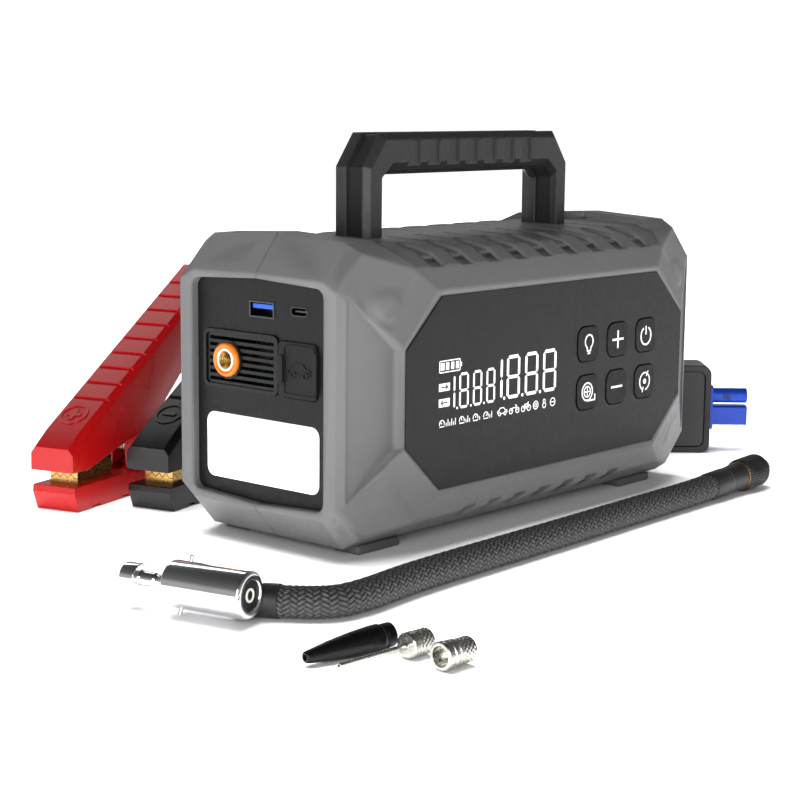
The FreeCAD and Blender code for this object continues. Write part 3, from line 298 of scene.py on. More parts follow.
HOUSING_TONE = colour(104, 104, 105)
CHARCOAL = colour(15, 15, 16)
SLATE = colour(36, 36, 37)
BLACK = colour(12, 12, 13)
RED = colour(186, 8, 12)
BRASS = colour(206, 166, 98)
GLOSSY = {"roughness": 0.3, "grain": 0.0, "variation": 0.0, "specular": 0.45}
MATERIALS = {
    "housing_grey": moulded("housing_grey_plastic", HOUSING_TONE, 0.44, 0.014, 0.4, 0.04, 0.0, 0.25, 0.45,
                            soft=2.2),
    "panel_black": moulded("panel_black_plastic", CHARCOAL, 0.5, 0.012, 0.35, 0.07, specular=0.25),
    "window": moulded("window_plastic", colour(18, 18, 19), 0.42, 0.006, 0.5, 0.05, 0.0, specular=0.25),
    "button": moulded("button_plastic", BLACK, 0.46, 0.008, 0.3, 0.08, specular=0.2),
    "handle": moulded("handle_plastic", SLATE, 0.44, 0.012, 0.35, 0.07, 0.0, 0.15, 0.4, soft=1.2),
    "handle_band": rubber("handle_band_rubber", colour(24, 24, 25), 0.66),
    "feet": rubber("foot_rubber", colour(84, 84, 86), 0.7),
    "screws": metal("zinc_screw", colour(150, 152, 155), 0.32, (1, 6, 1)),
    "lens": diffuser("opal_lens"),
    "boards": circuit("green_board"),
    "orange": moulded("orange_ring_plastic", colour(236, 122, 24), 0.38, 0.006, 0.3, 0.06, 0.1),
    "brass": metal("brass_turned", BRASS, 0.24, (1, 1, 5), 0.006),
    "steel_shell": metal("usb_shell_steel", colour(74, 76, 80), 0.3, (4, 1, 1)),
    "usb_blue": moulded("usb_blue_plastic", colour(36, 92, 196), 0.42, 0.004, 0.3, 0.08),
    "cover_rubber": rubber("cover_rubber_black", colour(18, 18, 19), 0.62),
    "socket_black": moulded("socket_black_plastic", BLACK, 0.3, 0.004, 0.3, 0.08, 0.0, specular=0.25),
    "cells": moulded("cell_wrap", colour(44, 92, 150), 0.4, 0.004, 0.6, 0.08, 0.2),
    "compressor": metal("cast_alloy", colour(142, 144, 147), 0.42, (1, 1, 1), 0.02),
    "red_plastic": moulded("red_gloss_plastic", RED, **GLOSSY),
    "black_plastic": moulded("black_gloss_plastic", colour(10, 10, 11), **GLOSSY),
    "box_grey": moulded("box_face_plastic", colour(46, 46, 47), 0.4, 0.012, 0.4, 0.05, specular=0.35),
    "plug_blue": moulded("plug_blue_nylon", colour(8, 62, 176), 0.4, 0.006, 0.4, 0.08, 0.05, 0.15),
    "braid": braided("hose_braid_yarn"),
    "fitting_black": moulded("fitting_black_plastic", colour(34, 34, 35), 0.4, 0.008, 0.3, 0.08, 0.0, 0.2),
    "insert": moulded("insert_black", BLACK, 0.4, 0.004, 0.3, 0.08),
    "chrome": metal("chrome_plate", colour(226, 227, 229), 0.12, (1, 1, 1), 0.0015, 0.05),
    "nickel": metal("nickel_turned", colour(196, 194, 188), 0.24, (1, 1, 1), 0.003, 0.08),
}
PRINT_WHITE = printed("print_white", colour(246, 246, 246), 0.5, 0.35)
PRINT_DARK = printed("print_dark", colour(24, 26, 60), 0.5)
# Cream: the air plug's liner, and on the outlet a painted highlight on the brass socket's face.
CREAM = moulded("cream_liner_and_painted_highlight", colour(236, 232, 220), 0.4, 0.004, 0.3, 0.04)


# ---------------------------------------- mesh helpers
def add_piece(name, mesh, material, body, stands_for=()):
    piece = bpy.data.objects.new(name, mesh)
    bpy.context.scene.collection.objects.link(piece)
    mesh.materials.clear()
    mesh.materials.append(material)
    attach(piece, body)
    if stands_for:
        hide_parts(*stands_for)
    return piece


def mesh_of(bm, name, sharp=32):
    """The bmesh as a mesh with smooth faces and hard edges above an angle."""
    bmesh.ops.recalc_face_normals(bm, faces=bm.faces)
    mesh = bpy.data.meshes.new(name)
    bm.to_mesh(mesh)
    bm.free()
    mesh.shade_smooth()
    mesh.set_sharp_from_angle(angle=math.radians(sharp))
    return mesh


def evaluated_copy(obj, name):
    """The mesh that an object shows with its modifiers on."""
    graph = bpy.context.evaluated_depsgraph_get()
    graph.update()
    shown = obj.evaluated_get(graph)
    mesh = bpy.data.meshes.new_from_object(shown, preserve_all_data_layers=True, depsgraph=graph)
    mesh.name = name
    return mesh


def rounded_mesh(bm, name, width, segments, angle, weigh=None):
    """Rounds every edge sharper than an angle; weigh(edge) gives each its share of the width."""
    layer = bm.edges.layers.float.new("bevel_weight_edge")
    limit = math.radians(angle)
    for edge in bm.edges:
        if len(edge.link_faces) == 2 and edge.calc_face_angle(0) > limit:
            edge[layer] = weigh(edge) if weigh else 1
    mesh = mesh_of(bm, name, 40)
    blank = bpy.data.objects.new("rounding", mesh)
    bpy.context.scene.collection.objects.link(blank)
    bevel = blank.modifiers.new("bevel", "BEVEL")
    bevel.limit_method, bevel.width, bevel.segments = "WEIGHT", width * MM, segments
    bevel.miter_outer, bevel.use_clamp_overlap = "MITER_ARC", True
    even = blank.modifiers.new("even", "WEIGHTED_NORMAL")
    even.keep_sharp = True
    made = evaluated_copy(blank, name)
    bpy.data.objects.remove(blank)
    bpy.data.meshes.remove(mesh)
    return made


WELD_DISTANCE = 0.004
SHELLS = ("front_shell", "rear_shell")
SHELL_CORE, INWARD = mm(0, 0, 60), -2 * MM


def welded(node):
    """A CAD node's mesh with its doubled corners welded and its flat faces joined."""
    bm = bmesh.new()
    bm.from_mesh(NODES[node].data)
    bmesh.ops.remove_doubles(bm, verts=bm.verts, dist=WELD_DISTANCE * MM)
    edges = list(bm.edges)
    if node in SHELLS:
        # A ring facing the core or on the seam would cover its own opening if it were joined.
        bm.normal_update()
        inner = [face.normal.dot(SHELL_CORE - face.calc_center_median()) > INWARD for face in bm.faces]
        bm.faces.ensure_lookup_table()
        edges = [edge for edge in edges if not all(inner[face.index] for face in edge.link_faces)]
    # In the edges' order, which is the same each run.
    corners = list(dict.fromkeys(vertex for edge in edges for vertex in edge.verts))
    bmesh.ops.dissolve_limit(bm, angle_limit=math.radians(0.5), verts=corners, edges=edges)
    return bm


def softened(node, slot, width=0.4, segments=2, angle=28, weigh=None):
    """Stands for a CAD node: the same shape with moulded, rounded edges."""
    mesh = rounded_mesh(welded(node), node + "_mesh", width, segments, angle, weigh)
    return add_piece(node + "_moulded", mesh, MATERIALS[slot], BODY_OF[node], [node])


def eased(points, radius, steps=4):
    """Rounds the corners of a flat closed outline."""
    points = [Vector(p) for p in points]
    made = []
    for i, corner in enumerate(points):
        before, after = points[i - 1] - corner, points[(i + 1) % len(points)] - corner
        reach = min(radius, 0.45 * before.length, 0.45 * after.length)
        start, end = corner + before.normalized() * reach, corner + after.normalized() * reach
        for step in range(steps + 1):
            t = step / steps
            made.append(start * (1 - t) ** 2 + corner * 2 * t * (1 - t) + end * t ** 2)
    return made


def dense(points, step):
    """Adds points along the runs of a profile."""
    made = []
    for here, there in zip(points, points[1:]):
        count = max(1, round((there - here).length / step))
        made += [here.lerp(there, i / count) for i in range(count)]
    return made + [points[-1]]


def revolved(name, profile, spot, steps=72, ripple=None):
    """Mesh of a closed (radius, distance) profile turned about +Z of spot.

    ripple(angle, radius, distance) gives a point of the profile a new radius.
    """
    bm = bmesh.new()
    rings = []
    for radius, distance in profile:
        if radius < 1e-6:
            rings.append([bm.verts.new(spot @ mm(0, 0, distance))])
            continue
        ring = []
        for i in range(steps):
            angle = math.tau * i / steps
            reach = ripple(angle, radius, distance) if ripple else radius
            ring.append(bm.verts.new(spot @ mm(reach * math.cos(angle), reach * math.sin(angle), distance)))
        rings.append(ring)
    for one, two in zip(rings, rings[1:] + rings[:1]):
        if len(one) == 1 and len(two) == 1:
            continue
        for i in range(steps):
            j = (i + 1) % steps
            corners = [one[i % len(one)], one[j % len(one)], two[j % len(two)], two[i % len(two)]]
            bm.faces.new(list(dict.fromkeys(corners)))
    return mesh_of(bm, name, 35)


def lathe(name, profile, spot, slot, body, stands_for=(), steps=72, ripple=None, ease=0.25, step=None):
    """A turned piece with rounded corners; step adds points along its runs for the ripple."""
    profile = eased(profile, ease)
    if step:
        profile = dense(profile, step)
    mesh = revolved(name + "_mesh", profile, spot, steps, ripple)
    return add_piece(name, mesh, MATERIALS[slot], body, stands_for)


def turned(node, profile, spot, slot, *shaping, **more):
    """Stands for a CAD node: a piece turned on the lathe."""
    return lathe(node + "_turned", profile, spot, slot, BODY_OF[node], [node], *shaping, **more)


def skin(bm, rings):
    """Joins rings of corners to a tube and closes both ends."""
    for one, two in zip(rings, rings[1:]):
        for k in range(len(one)):
            j = (k + 1) % len(one)
            bm.faces.new((one[k], one[j], two[j], two[k]))
    bm.faces.new(rings[0])
    bm.faces.new(rings[-1])


def sweep(name, centres, radius, steps=16):
    """Round tube mesh through points in metres."""
    bm = bmesh.new()
    rings, side = [], None
    for i, centre in enumerate(centres):
        ahead = (centres[min(i + 1, len(centres) - 1)] - centres[max(i - 1, 0)]).normalized()
        side = ahead.orthogonal() if side is None else side - ahead * side.dot(ahead)
        side.normalize()
        other = ahead.cross(side)
        ring = []
        for k in range(steps):
            angle = math.tau * k / steps
            ring.append(bm.verts.new(centre + (side * math.cos(angle) + other * math.sin(angle)) * radius))
        rings.append(ring)
    skin(bm, rings)
    return mesh_of(bm, name, 40)


class Print:
    """Thin raised marks on a flat face, drawn in millimetres across and up from its origin."""

    def __init__(self, origin, across, up, rise=0.1, sink=0.05):
        self.bm = bmesh.new()
        self.origin, self.across, self.up = origin, across, up
        self.out = across.cross(up)
        self.rise, self.sink = rise * MM, sink * MM

    def at(self, point, lift):
        return self.origin + (self.across * point[0] + self.up * point[1]) * MM + self.out * lift

    def slab(self, left, right, closed):
        """Closed strip between two rows of points."""
        rows = []
        for lift in (-self.sink, self.rise):
            rows.append([[self.bm.verts.new(self.at(p, lift)) for p in row] for row in (left, right)])
        (low_l, low_r), (top_l, top_r) = rows
        count = len(left)
        for i in range(count if closed else count - 1):
            j = (i + 1) % count
            for a, b in ((top_l, top_r), (top_r, low_r), (low_r, low_l), (low_l, top_l)):
                self.bm.faces.new((a[i], b[i], b[j], a[j]))
        if not closed:
            self.bm.faces.new((top_l[0], top_r[0], low_r[0], low_l[0]))
            self.bm.faces.new((top_l[-1], top_r[-1], low_r[-1], low_l[-1]))

    def line(self, points, width, closed=False):
        """Stroke of constant width with mitred corners."""
        points = [Vector(p) for p in points]
        count = len(points)
        left, right = [], []
        for i, here in enumerate(points):
            before = here - points[i - 1] if closed or i else points[1] - here
            after = points[(i + 1) % count] - here if closed or i < count - 1 else here - points[i - 1]
            before, after = before.normalized(), after.normalized()
            normal = Vector((-(before + after).y, (before + after).x)).normalized()
            share = max(0.4, normal.dot(Vector((-after.y, after.x))))
            left.append(here + normal * width / 2 / share)
            right.append(here - normal * width / 2 / share)
        self.slab(left, right, closed)

    def arc(self, centre, radius, width, start=0, end=360, steps=28):
        full = abs(end - start) >= 360
        count = steps if full else steps + 1
        angles = [math.radians(start + (end - start) * i / steps) for i in range(count)]
        self.line([(centre[0] + radius * math.cos(a), centre[1] + radius * math.sin(a)) for a in angles],
                  width, full)

    def fill(self, points):
        """Solid patch with any outline."""
        low = [self.bm.verts.new(self.at(p, -self.sink)) for p in points]
        top = [self.bm.verts.new(self.at(p, self.rise)) for p in points]
        self.bm.faces.new(top)
        self.bm.faces.new(low[::-1])
        for i in range(len(points)):
            j = (i + 1) % len(points)
            self.bm.faces.new((low[i], low[j], top[j], top[i]))

    def dot(self, centre, radius, steps=18):
        angles = [math.tau * i / steps for i in range(steps)]
        self.fill([(centre[0] + radius * math.cos(a), centre[1] + radius * math.sin(a)) for a in angles])

    def done(self, name, material, body):
        return add_piece(name, mesh_of(self.bm, name + "_mesh", 30), material, body)


def rect(x0, y0, x1, y1, radius=0.0):
    corners = [(x0, y0), (x1, y0), (x1, y1), (x0, y1)]
    return eased(corners, radius) if radius else [Vector(c) for c in corners]


# ---------------------------------------- housing
SEAM_ROUND, GROOVE_ROUND, RIDGE_ROUND = 0.35, 0.7, 2.4
INNER_X, INNER_Y, INNER_LOW, INNER_HIGH = 112, 52.2, 7, 116
SHORT_EDGE, DECK_X, GROOVE_SLANT = 14, 90, 7

# Node, material, rounding in millimetres, and its steps where they are not two.
ROUNDED = [
    ("display_window", "window", 0.25), ("rear_panel", "panel_black", 0.3),
    ("port_panel", "panel_black", 0.25), ("end_panel", "panel_black", 0.3),
    ("light_lens", "lens", 0.5, 3), ("foot_pads", "feet", 0.7),
    ("handle_front_half", "handle", 0.5), ("handle_rear_half", "handle", 0.5),
    ("handle_core", "handle_band", 0.5), ("outlet_grille", "socket_black", 0.3),
    ("jumper_cover", "cover_rubber", 0.35), ("jumper_socket", "socket_black", 0.3),
    ("usb_a_shell", "steel_shell", 0.12), ("usb_a_tongue", "usb_blue", 0.15),
    ("usb_c_port", "steel_shell", 0.1), ("housing_screws", "screws", 0.3),
    # Inside.
    ("battery_cells", "cells", 0.8), ("compressor_motor", "compressor", 0.8),
    ("compressor_head", "compressor", 0.5), ("main_board", "boards", 0.15),
    ("display_board", "boards", 0.15), ("light_board", "boards", 0.1)]


def housing_weight(edge):
    """Share of RIDGE_ROUND: broad on the long ridges, fine on the seam and the grooves, none inside."""
    a, b = (v.co / MM for v in edge.verts)
    centre, length = (a + b) / 2, (a - b).length
    if abs(centre.x) < INNER_X and abs(centre.y) < INNER_Y and INNER_LOW < centre.z <= INNER_HIGH:
        return 0
    if abs(a.y) < 0.01 and abs(b.y) < 0.01:
        return SEAM_ROUND / RIDGE_ROUND
    if length < SHORT_EDGE or (abs(centre.x) < DECK_X and abs(a.x - b.x) < GROOVE_SLANT):
        return GROOVE_ROUND / RIDGE_ROUND
    return 1


def make_housing():
    for node in SHELLS:
        softened(node, "housing_grey", RIDGE_ROUND, 4, 11, housing_weight)
    for node, slot, *rounding in ROUNDED:
        softened(node, slot, *rounding)


# ---------------------------------------- outlet, sockets
def make_outlet():
    """Insulating ring with a lip, the threaded brass socket, and a cream ring on the socket's face that is a
    painted highlight.
    """
    low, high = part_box("outlet_ring")
    centre = (low + high) / 2
    front, outer = low.x / MM, (high.y - low.y) / 2 / MM
    spot = spot_along((front, centre.y / MM, centre.z / MM), AXIS_X)
    depth = (high.x - low.x) / MM
    ring = [(4.72, depth), (4.72, 1.0), (5.0, 0.5), (5.5, 0.0), (6.2, 0.0), (outer, 0.8), (outer, depth)]
    turned("outlet_ring", ring, spot, "orange", 96, ease=0.5)
    low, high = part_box("outlet_socket")
    face = low.x / MM - front
    thread = []
    for i in range(9):
        thread += [(3.3, face + 1.0 + i * 1.1), (3.75, face + 1.55 + i * 1.1)]
    end = (high.x - low.x) / MM + face
    socket = thread + [(3.3, end - 0.4), (3.3, end), (4.7, end), (4.7, end - 3), (6.9, end - 3.2),
                       (6.9, end - 7.6), (4.7, end - 7.8), (4.7, face + 0.4), (4.3, face), (3.9, face)]
    turned("outlet_socket", socket, spot, "brass", 72, ease=0.08)
    # Painted highlight: a cream ring on the brass socket's front face stands in for the light it catches.
    liner = [(3.6, face - 0.3), (4.1, face - 0.5), (4.68, face - 0.3), (4.68, face - 0.04),
             (3.6, face - 0.04)]
    add_piece("outlet_face_highlight", revolved("outlet_liner_mesh", eased(liner, 0.1), spot, 72), CREAM, "housing")


def make_socket_details():
    """Gold contacts on the USB tongue and the picture on the rubber cover."""
    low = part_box("usb_a_tongue")[0]
    pads = Print(Vector((low.x + 0.8 * MM, middle("usb_a_tongue").y, low.z)), -AXIS_Y, AXIS_X, 0.06)
    pads.out = -AXIS_Z
    for i in range(4):
        x = (i - 1.5) * 2.6
        pads.fill(rect(x - 0.6, 0, x + 0.6, 7.5, 0.2))
    pads.done("usb_contacts", MATERIALS["brass"], "housing")
    face = middle("jumper_cover")
    face.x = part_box("port_panel")[0].x - 0.9 * MM
    relief = Print(face, -AXIS_Y, AXIS_Z, 0.35, 0.1)
    relief.line(rect(-7.2, -9.6, 9.0, 9.6, 1.6), 0.5, True)
    car(relief, (0.9, 0.0), 11.5, 0.55)
    relief.done("cover_relief", MATERIALS["cover_rubber"], "cover")


def car(plate, centre, width, stroke):
    """Side view of a car, the same size across as width."""
    k = width / 10
    x, y = centre
    body = [(-5, -1.2), (-5, 0.3), (-3.6, 0.8), (-2.2, 2.4), (1.4, 2.4), (3.0, 0.8), (4.7, 0.4), (5, -1.2)]
    plate.line([(x + a * k, y + b * k) for a, b in body], stroke)
    for wheel in (-2.9, 2.9):
        plate.arc((x + wheel * k, y - 1.4 * k), 1.1 * k, stroke)
    plate.line([(x - 1.6 * k, y - 1.3 * k), (x + 1.6 * k, y - 1.3 * k)], stroke)


# ---------------------------------------- display
PRINT_RISE = 0.06
SEGMENTS = {"8": "abcdefg", "1": "bc"}
DIGITS_SMALL = [("1", -68.4, -66.7), ("8", -64.2, -58.2), ("8", -55.5, -49.7), ("8", -46.9, -41.2)]
DIGITS_LARGE = [("1", -38.6, -36.3), ("8", -33.6, -24.7), ("8", -21.3, -12.3), ("8", -8.9, 0.4)]


def digit(plate, x0, x1, z0, z1, thick, shape):
    """Seven-segment digit that fills x0..x1 and z0..z1."""
    gap, half = 0.26, thick / 2
    left, right, low, top = x0 + half, x1 - half, z0 + half, z1 - half
    mid = (low + top) / 2

    def bar(ax, az, bx, bz):
        """Six-sided bar between two nodes of the digit."""
        along = Vector((bx - ax, bz - az)).normalized()
        side = Vector((-along.y, along.x)) * half
        a = Vector((ax, az)) + along * gap
        b = Vector((bx, bz)) - along * gap
        plate.fill([a, a + along * half - side, b - along * half - side, b,
                    b - along * half + side, a + along * half + side])

    runs = {"a": (left, top, right, top), "b": (right, mid, right, top), "c": (right, low, right, mid),
            "d": (left, low, right, low), "e": (left, low, left, mid), "f": (left, mid, left, top),
            "g": (left, mid, right, mid)}
    for name in SEGMENTS[shape]:
        bar(*runs[name])


def read_out(plate, digits, dots, z0, z1, thick):
    """A row of digits with points between them."""
    for shape, x0, x1 in digits:
        digit(plate, x0, x1, z0, z1, thick, shape)
    for x in dots:
        plate.dot((x, z0 + thick * 0.45), thick * 0.5)


def two_wheeler(plate, centre, scale, stroke, wheels, radius, *runs):
    """Side view of a cycle: two wheels and the lines between them, in units of scale."""
    x, y = centre
    for wheel in (-wheels, wheels):
        plate.arc((x + wheel * scale, y - scale), radius * scale, stroke)
    for run in runs:
        plate.line([(x + a * scale, y + b * scale) for a, b in run], stroke)


def make_display():
    face = Vector((0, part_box("display_window")[0].y, 0))
    plate = Print(face, AXIS_X, AXIS_Z, PRINT_RISE)
    # Battery gauge with four bars.
    plate.line(rect(-76.55, 71.75, -63.85, 76.25, 0.6), 0.45, True)
    plate.fill(rect(-63.5, 73.2, -62.8, 74.9))
    for x0, x1 in ((-75.9, -73.6), (-72.7, -70.7), (-69.5, -67.6), (-66.5, -64.7)):
        plate.fill(rect(x0, 72.6, x1, 75.5))
    # Input and output badges: a dark arrow on a filled patch.
    arrows = Print(face, AXIS_X, AXIS_Z, 0.1, 0.02)
    left, right = -76.8, -70.1
    for z0, z1, way in ((64.3, 67.4, 1), (58.0, 61.3, -1)):
        plate.fill(rect(left, z0, right, z1, 0.4))
        mid, tip = (z0 + z1) / 2, (left + right) / 2 + way * 1.9
        arrows.line([((left + right) / 2 - way * 2.0, mid), (tip - way * 0.3, mid)], 0.5)
        arrows.line([(tip - way * 1.1, mid + 1.0), (tip, mid), (tip - way * 1.1, mid - 1.0)], 0.5)
    arrows.done("display_badges", MATERIALS["window"], "housing")
    read_out(plate, DIGITS_SMALL, (-65.4, -56.7, -48.3), 56.2, 70.5, 1.05)
    read_out(plate, DIGITS_LARGE, (-35.1, -22.9, -10.7), 56.4, 74.4, 1.45)
    # Unit marks: a dial and a few ticks each, then what can be pumped up.
    for i, (x0, x1) in enumerate(((-76.4, -65.8), (-64.0, -57.1), (-55.3, -50.7), (-48.6, -42.2))):
        x, turn = x0 + 1.7, 2.4 - 0.6 * i
        plate.arc((x, 51.3), 1.5, 0.42, -20, 200, 16)
        plate.line([(x, 51.3), (x + 1.1 * math.cos(turn), 51.3 + 1.1 * math.sin(turn))], 0.4)
        plate.line([(x - 1.5, 50.2), (x + 1.5, 50.2)], 0.4)
        for k in range(round((x1 - x0 - 3.6) / 1.15)):
            tick = x0 + 4.3 + 1.15 * k
            plate.fill(rect(tick - 0.2, 50.1, tick + 0.2, 52.8 if k % 2 else 51.6))
    car(plate, (-36.15, 51.7), 6.3, 0.45)
    # Motorcycle and bicycle.
    two_wheeler(plate, (-28.2, 51.8), 0.72, 0.45, 3.0, 1.5, ((-3, -1), (-1.2, 0.7), (1.6, 0.7), (3, -1)),
                ((0.9, 2.2), (1.9, 2.0), (2.3, 0.6)))
    two_wheeler(plate, (-20.15, 51.8), 0.68, 0.42, 2.9, 1.7,
                ((-2.9, -1), (-1.2, 1.6), (1.9, 1.6), (0, -1), (-1.2, 1.6)),
                ((2.9, -1), (1.7, 2.4), (2.6, 2.6)))
    plate.arc((-13.5, 51.65), 1.65, 0.45)
    plate.arc((-13.5, 51.65), 0.7, 0.42)
    plate.arc((-7.6, 52.7), 0.75, 0.4)
    plate.arc((-7.6, 50.9), 1.05, 0.42)
    plate.arc((-1.65, 51.65), 1.65, 0.45)
    plate.line([(-3.0, 51.65), (-0.3, 51.65)], 0.4)
    plate.done("display_graphics", PRINT_WHITE, "housing")


def make_buttons():
    stroke = 0.72
    for name in ("light", "plus", "power", "inflate", "minus", "mode"):
        node = "button_" + name
        softened(node, "button", 0.45, 3)
        face = middle(node)
        face.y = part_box(node)[0].y
        icon = Print(face, AXIS_X, AXIS_Z, PRINT_RISE)
        if name == "light":
            icon.arc((0.2, 1.05), 2.85, stroke, -58, 238, 24)
            icon.line([(1.71, -1.37), (1.35, -3.0), (-0.95, -3.0), (-1.31, -1.37)], stroke)
            icon.line([(-0.75, -4.1), (1.15, -4.1)], stroke)
        elif name == "plus":
            icon.line([(-4.2, 0), (4.2, 0)], 0.95)
            icon.fill(rect(-0.48, 0.48, 0.48, 3.95))
            icon.fill(rect(-0.48, -3.95, 0.48, -0.48))
        elif name == "power":
            icon.arc((0, -0.4), 3.95, stroke + 0.1, 118, 422, 28)
            icon.line([(0, 0.1), (0, 4.0)], stroke + 0.1)
        elif name == "inflate":
            icon.arc((-0.3, 0.2), 3.8, stroke)
            icon.arc((-0.3, 0.2), 2.3, stroke * 0.8)
            icon.line([(-2.2, 0.2), (1.6, 0.2)], stroke * 0.8)
            icon.line([(-0.3, -1.7), (-0.3, -0.05)], stroke * 0.8)
            icon.line([(-0.3, 0.45), (-0.3, 2.1)], stroke * 0.8)
            icon.line([(-0.3, -3.75), (5.4, -3.75), (5.4, -1.2)], stroke)
        elif name == "minus":
            icon.line([(-4.2, 0), (4.2, 0)], 0.95)
        else:
            icon.arc((0, 0), 3.9, stroke, 60, 250, 22)
            icon.arc((0, 0), 3.9, stroke, 280, 410, 16)
            icon.dot((0, 0), 1.2)
            for angle in (math.radians(60), math.radians(250)):
                tip = Vector((3.9 * math.cos(angle), 3.9 * math.sin(angle)))
                away = tip.normalized()
                icon.line([tip + away * 1.3, tip, tip - away * 1.3], stroke * 0.8)
        icon.done(node + "_icon", PRINT_WHITE, BODY_OF[node])


# ---------------------------------------- clamps
CLAMP_SLOPE = math.radians(29.66)
MARK_S, MARK_Y, NOSE_S, NOSE_Z = 14.4, 12.0, 5.0, 34.4
PIVOT_S, PIVOT_Z = 51.0, 21.0
COIL_RADIUS, COIL_START, COIL_PITCH, COIL_TURNS, COIL_STEPS = 3.6, 8.2, 1.25, 5, 24


def make_clamp(side, polarity):
    spot, slot = CLAMP_SPOTS[side], side + "_plastic"
    softened(side + "_upper_arm", slot, 0.55, 3, 24)
    softened(side + "_lower_arm", slot, 0.7, 3, 24)
    softened(side + "_lower_jaw", "brass", 0.06)
    softened(side + "_upper_jaw", "brass", 0.06)
    softened(side + "_pivot_pin", "nickel", 0.3)
    turn = spot.to_3x3()
    # Polarity mark in a ring on the upper arm's top face.
    up_slope = turn @ Vector((math.cos(CLAMP_SLOPE), 0, math.sin(CLAMP_SLOPE)))
    origin = spot @ mm(MARK_S, MARK_Y, NOSE_Z + (MARK_S - NOSE_S) * math.tan(CLAMP_SLOPE))
    mark = Print(origin, turn @ -AXIS_Y, up_slope, 0.45, 0.2)
    mark.arc((0, 0), 6.1, 1.0, steps=48)
    mark.line([(-3.4, 0), (3.4, 0)], 1.9)
    if polarity == "plus":
        mark.fill(rect(-0.95, 0.95, 0.95, 3.4))
        mark.fill(rect(-0.95, -3.4, 0.95, -0.95))
    mark.done(side + "_polarity_mark", MATERIALS[slot], side + "_lever")
    # Torsion spring: coils round the pin with its toe in the lower arm.
    spring = side + "_spring"
    coil = [spot @ mm(PIVOT_S + 3.9, COIL_START, PIVOT_Z - 9.0)]
    for i in range(COIL_TURNS * COIL_STEPS + 1):
        angle = math.tau * i / COIL_STEPS
        s, z = COIL_RADIUS * math.cos(angle), COIL_RADIUS * math.sin(angle)
        coil.append(spot @ mm(PIVOT_S + s, COIL_START + COIL_PITCH * i / COIL_STEPS, PIVOT_Z + z))
    mesh = sweep(spring + "_mesh", coil, 0.52 * MM, 10)
    add_piece(spring + "_coil", mesh, MATERIALS["nickel"], BODY_OF[spring], [spring])


# ---------------------------------------- lead box
PLUG_MARKS_AT = mm(9.5, 7.1, 22.5)


def make_lead_box():
    softened("lead_box", "black_plastic", 1.1, 3)
    softened("lead_box_face", "box_grey", 0.4, 3)
    softened("lead_plug", "plug_blue", 0.5, 3)
    turn = BOX_SPOT.to_3x3()
    marks = Print(BOX_SPOT @ PLUG_MARKS_AT, turn @ AXIS_X, turn @ AXIS_Z, 0.12, 0.5)
    for z, plus in ((5.7, True), (-4.25, False)):
        marks.arc((0, z), 1.5, 0.4)
        marks.line([(-0.9, z), (0.9, z)], 0.4)
        if plus:
            marks.line([(0, z - 0.9), (0, z + 0.9)], 0.4)
    marks.done("lead_plug_marks", PRINT_DARK, "lead_box_body")


# ---------------------------------------- air hose
HOSE_RADIUS = 5.8
HOSE_ROUTE = [(-186.2, -77.5, 6.1), (-178.5, -90.6, 6.1), (-163, -93.6, 6.1), (-135, -89.9, 6.1),
              (-100, -88.6, 6.1), (-52, -87.9, 6.1), (0, -86.4, 6.1), (40, -85.2, 6.1), (62, -84.9, 6.1),
              (78.8, -84.5, 6.66)]
BRAID_STRANDS = 18
BRAID_PITCH = 2.4
BRAID_RELIEF = 0.65
BRAID_ROUND, BRAID_STEP = 198, 0.26


def hose_centreline():
    """Evenly spaced points on the hose's smooth line."""
    curve = bpy.data.curves.new("hose_route", "CURVE")
    curve.dimensions, curve.resolution_u = "3D", 24
    spline = curve.splines.new("NURBS")
    spline.points.add(len(HOSE_ROUTE) - 1)
    for point, place in zip(spline.points, HOSE_ROUTE):
        point.co = (*(length * MM for length in place), 1)
    spline.order_u, spline.use_endpoint_u = 3, True
    holder = bpy.data.objects.new("hose_route", curve)
    bpy.context.scene.collection.objects.link(holder)
    graph = bpy.context.evaluated_depsgraph_get()
    line = bpy.data.meshes.new_from_object(holder.evaluated_get(graph), depsgraph=graph)
    raw = [vertex.co.copy() for vertex in line.vertices]
    bpy.data.objects.remove(holder)
    bpy.data.meshes.remove(line)
    lengths = [0.0]
    for a, b in zip(raw, raw[1:]):
        lengths.append(lengths[-1] + (b - a).length)
    count = round(lengths[-1] / (BRAID_STEP * MM))
    points, k = [], 0
    for i in range(count + 1):
        want = lengths[-1] * i / count
        while k < len(raw) - 2 and lengths[k + 1] < want:
            k += 1
        points.append(raw[k].lerp(raw[k + 1], (want - lengths[k]) / (lengths[k + 1] - lengths[k])))
    return points


def braid_height(around, along):
    """Height of the braid, 0 to 1, in a two-over-two weave of strands running both ways."""
    one = around * BRAID_STRANDS + along / BRAID_PITCH
    two = around * BRAID_STRANDS - along / BRAID_PITCH
    over = (math.floor(one) - math.floor(two)) % 4 < 2
    if over:
        across, length, begin = one, two, math.floor(one) - 1
    else:
        across, length, begin = two, one, math.floor(two) + 2
    # The strand on top is round across and dips at both ends of its float.
    crown = math.sin(math.pi * (across % 1)) ** 0.6
    dip = math.sin(math.pi * min(1, ((length - begin) % 4) / 2)) ** 0.45
    return crown * (0.3 + 0.7 * dip)


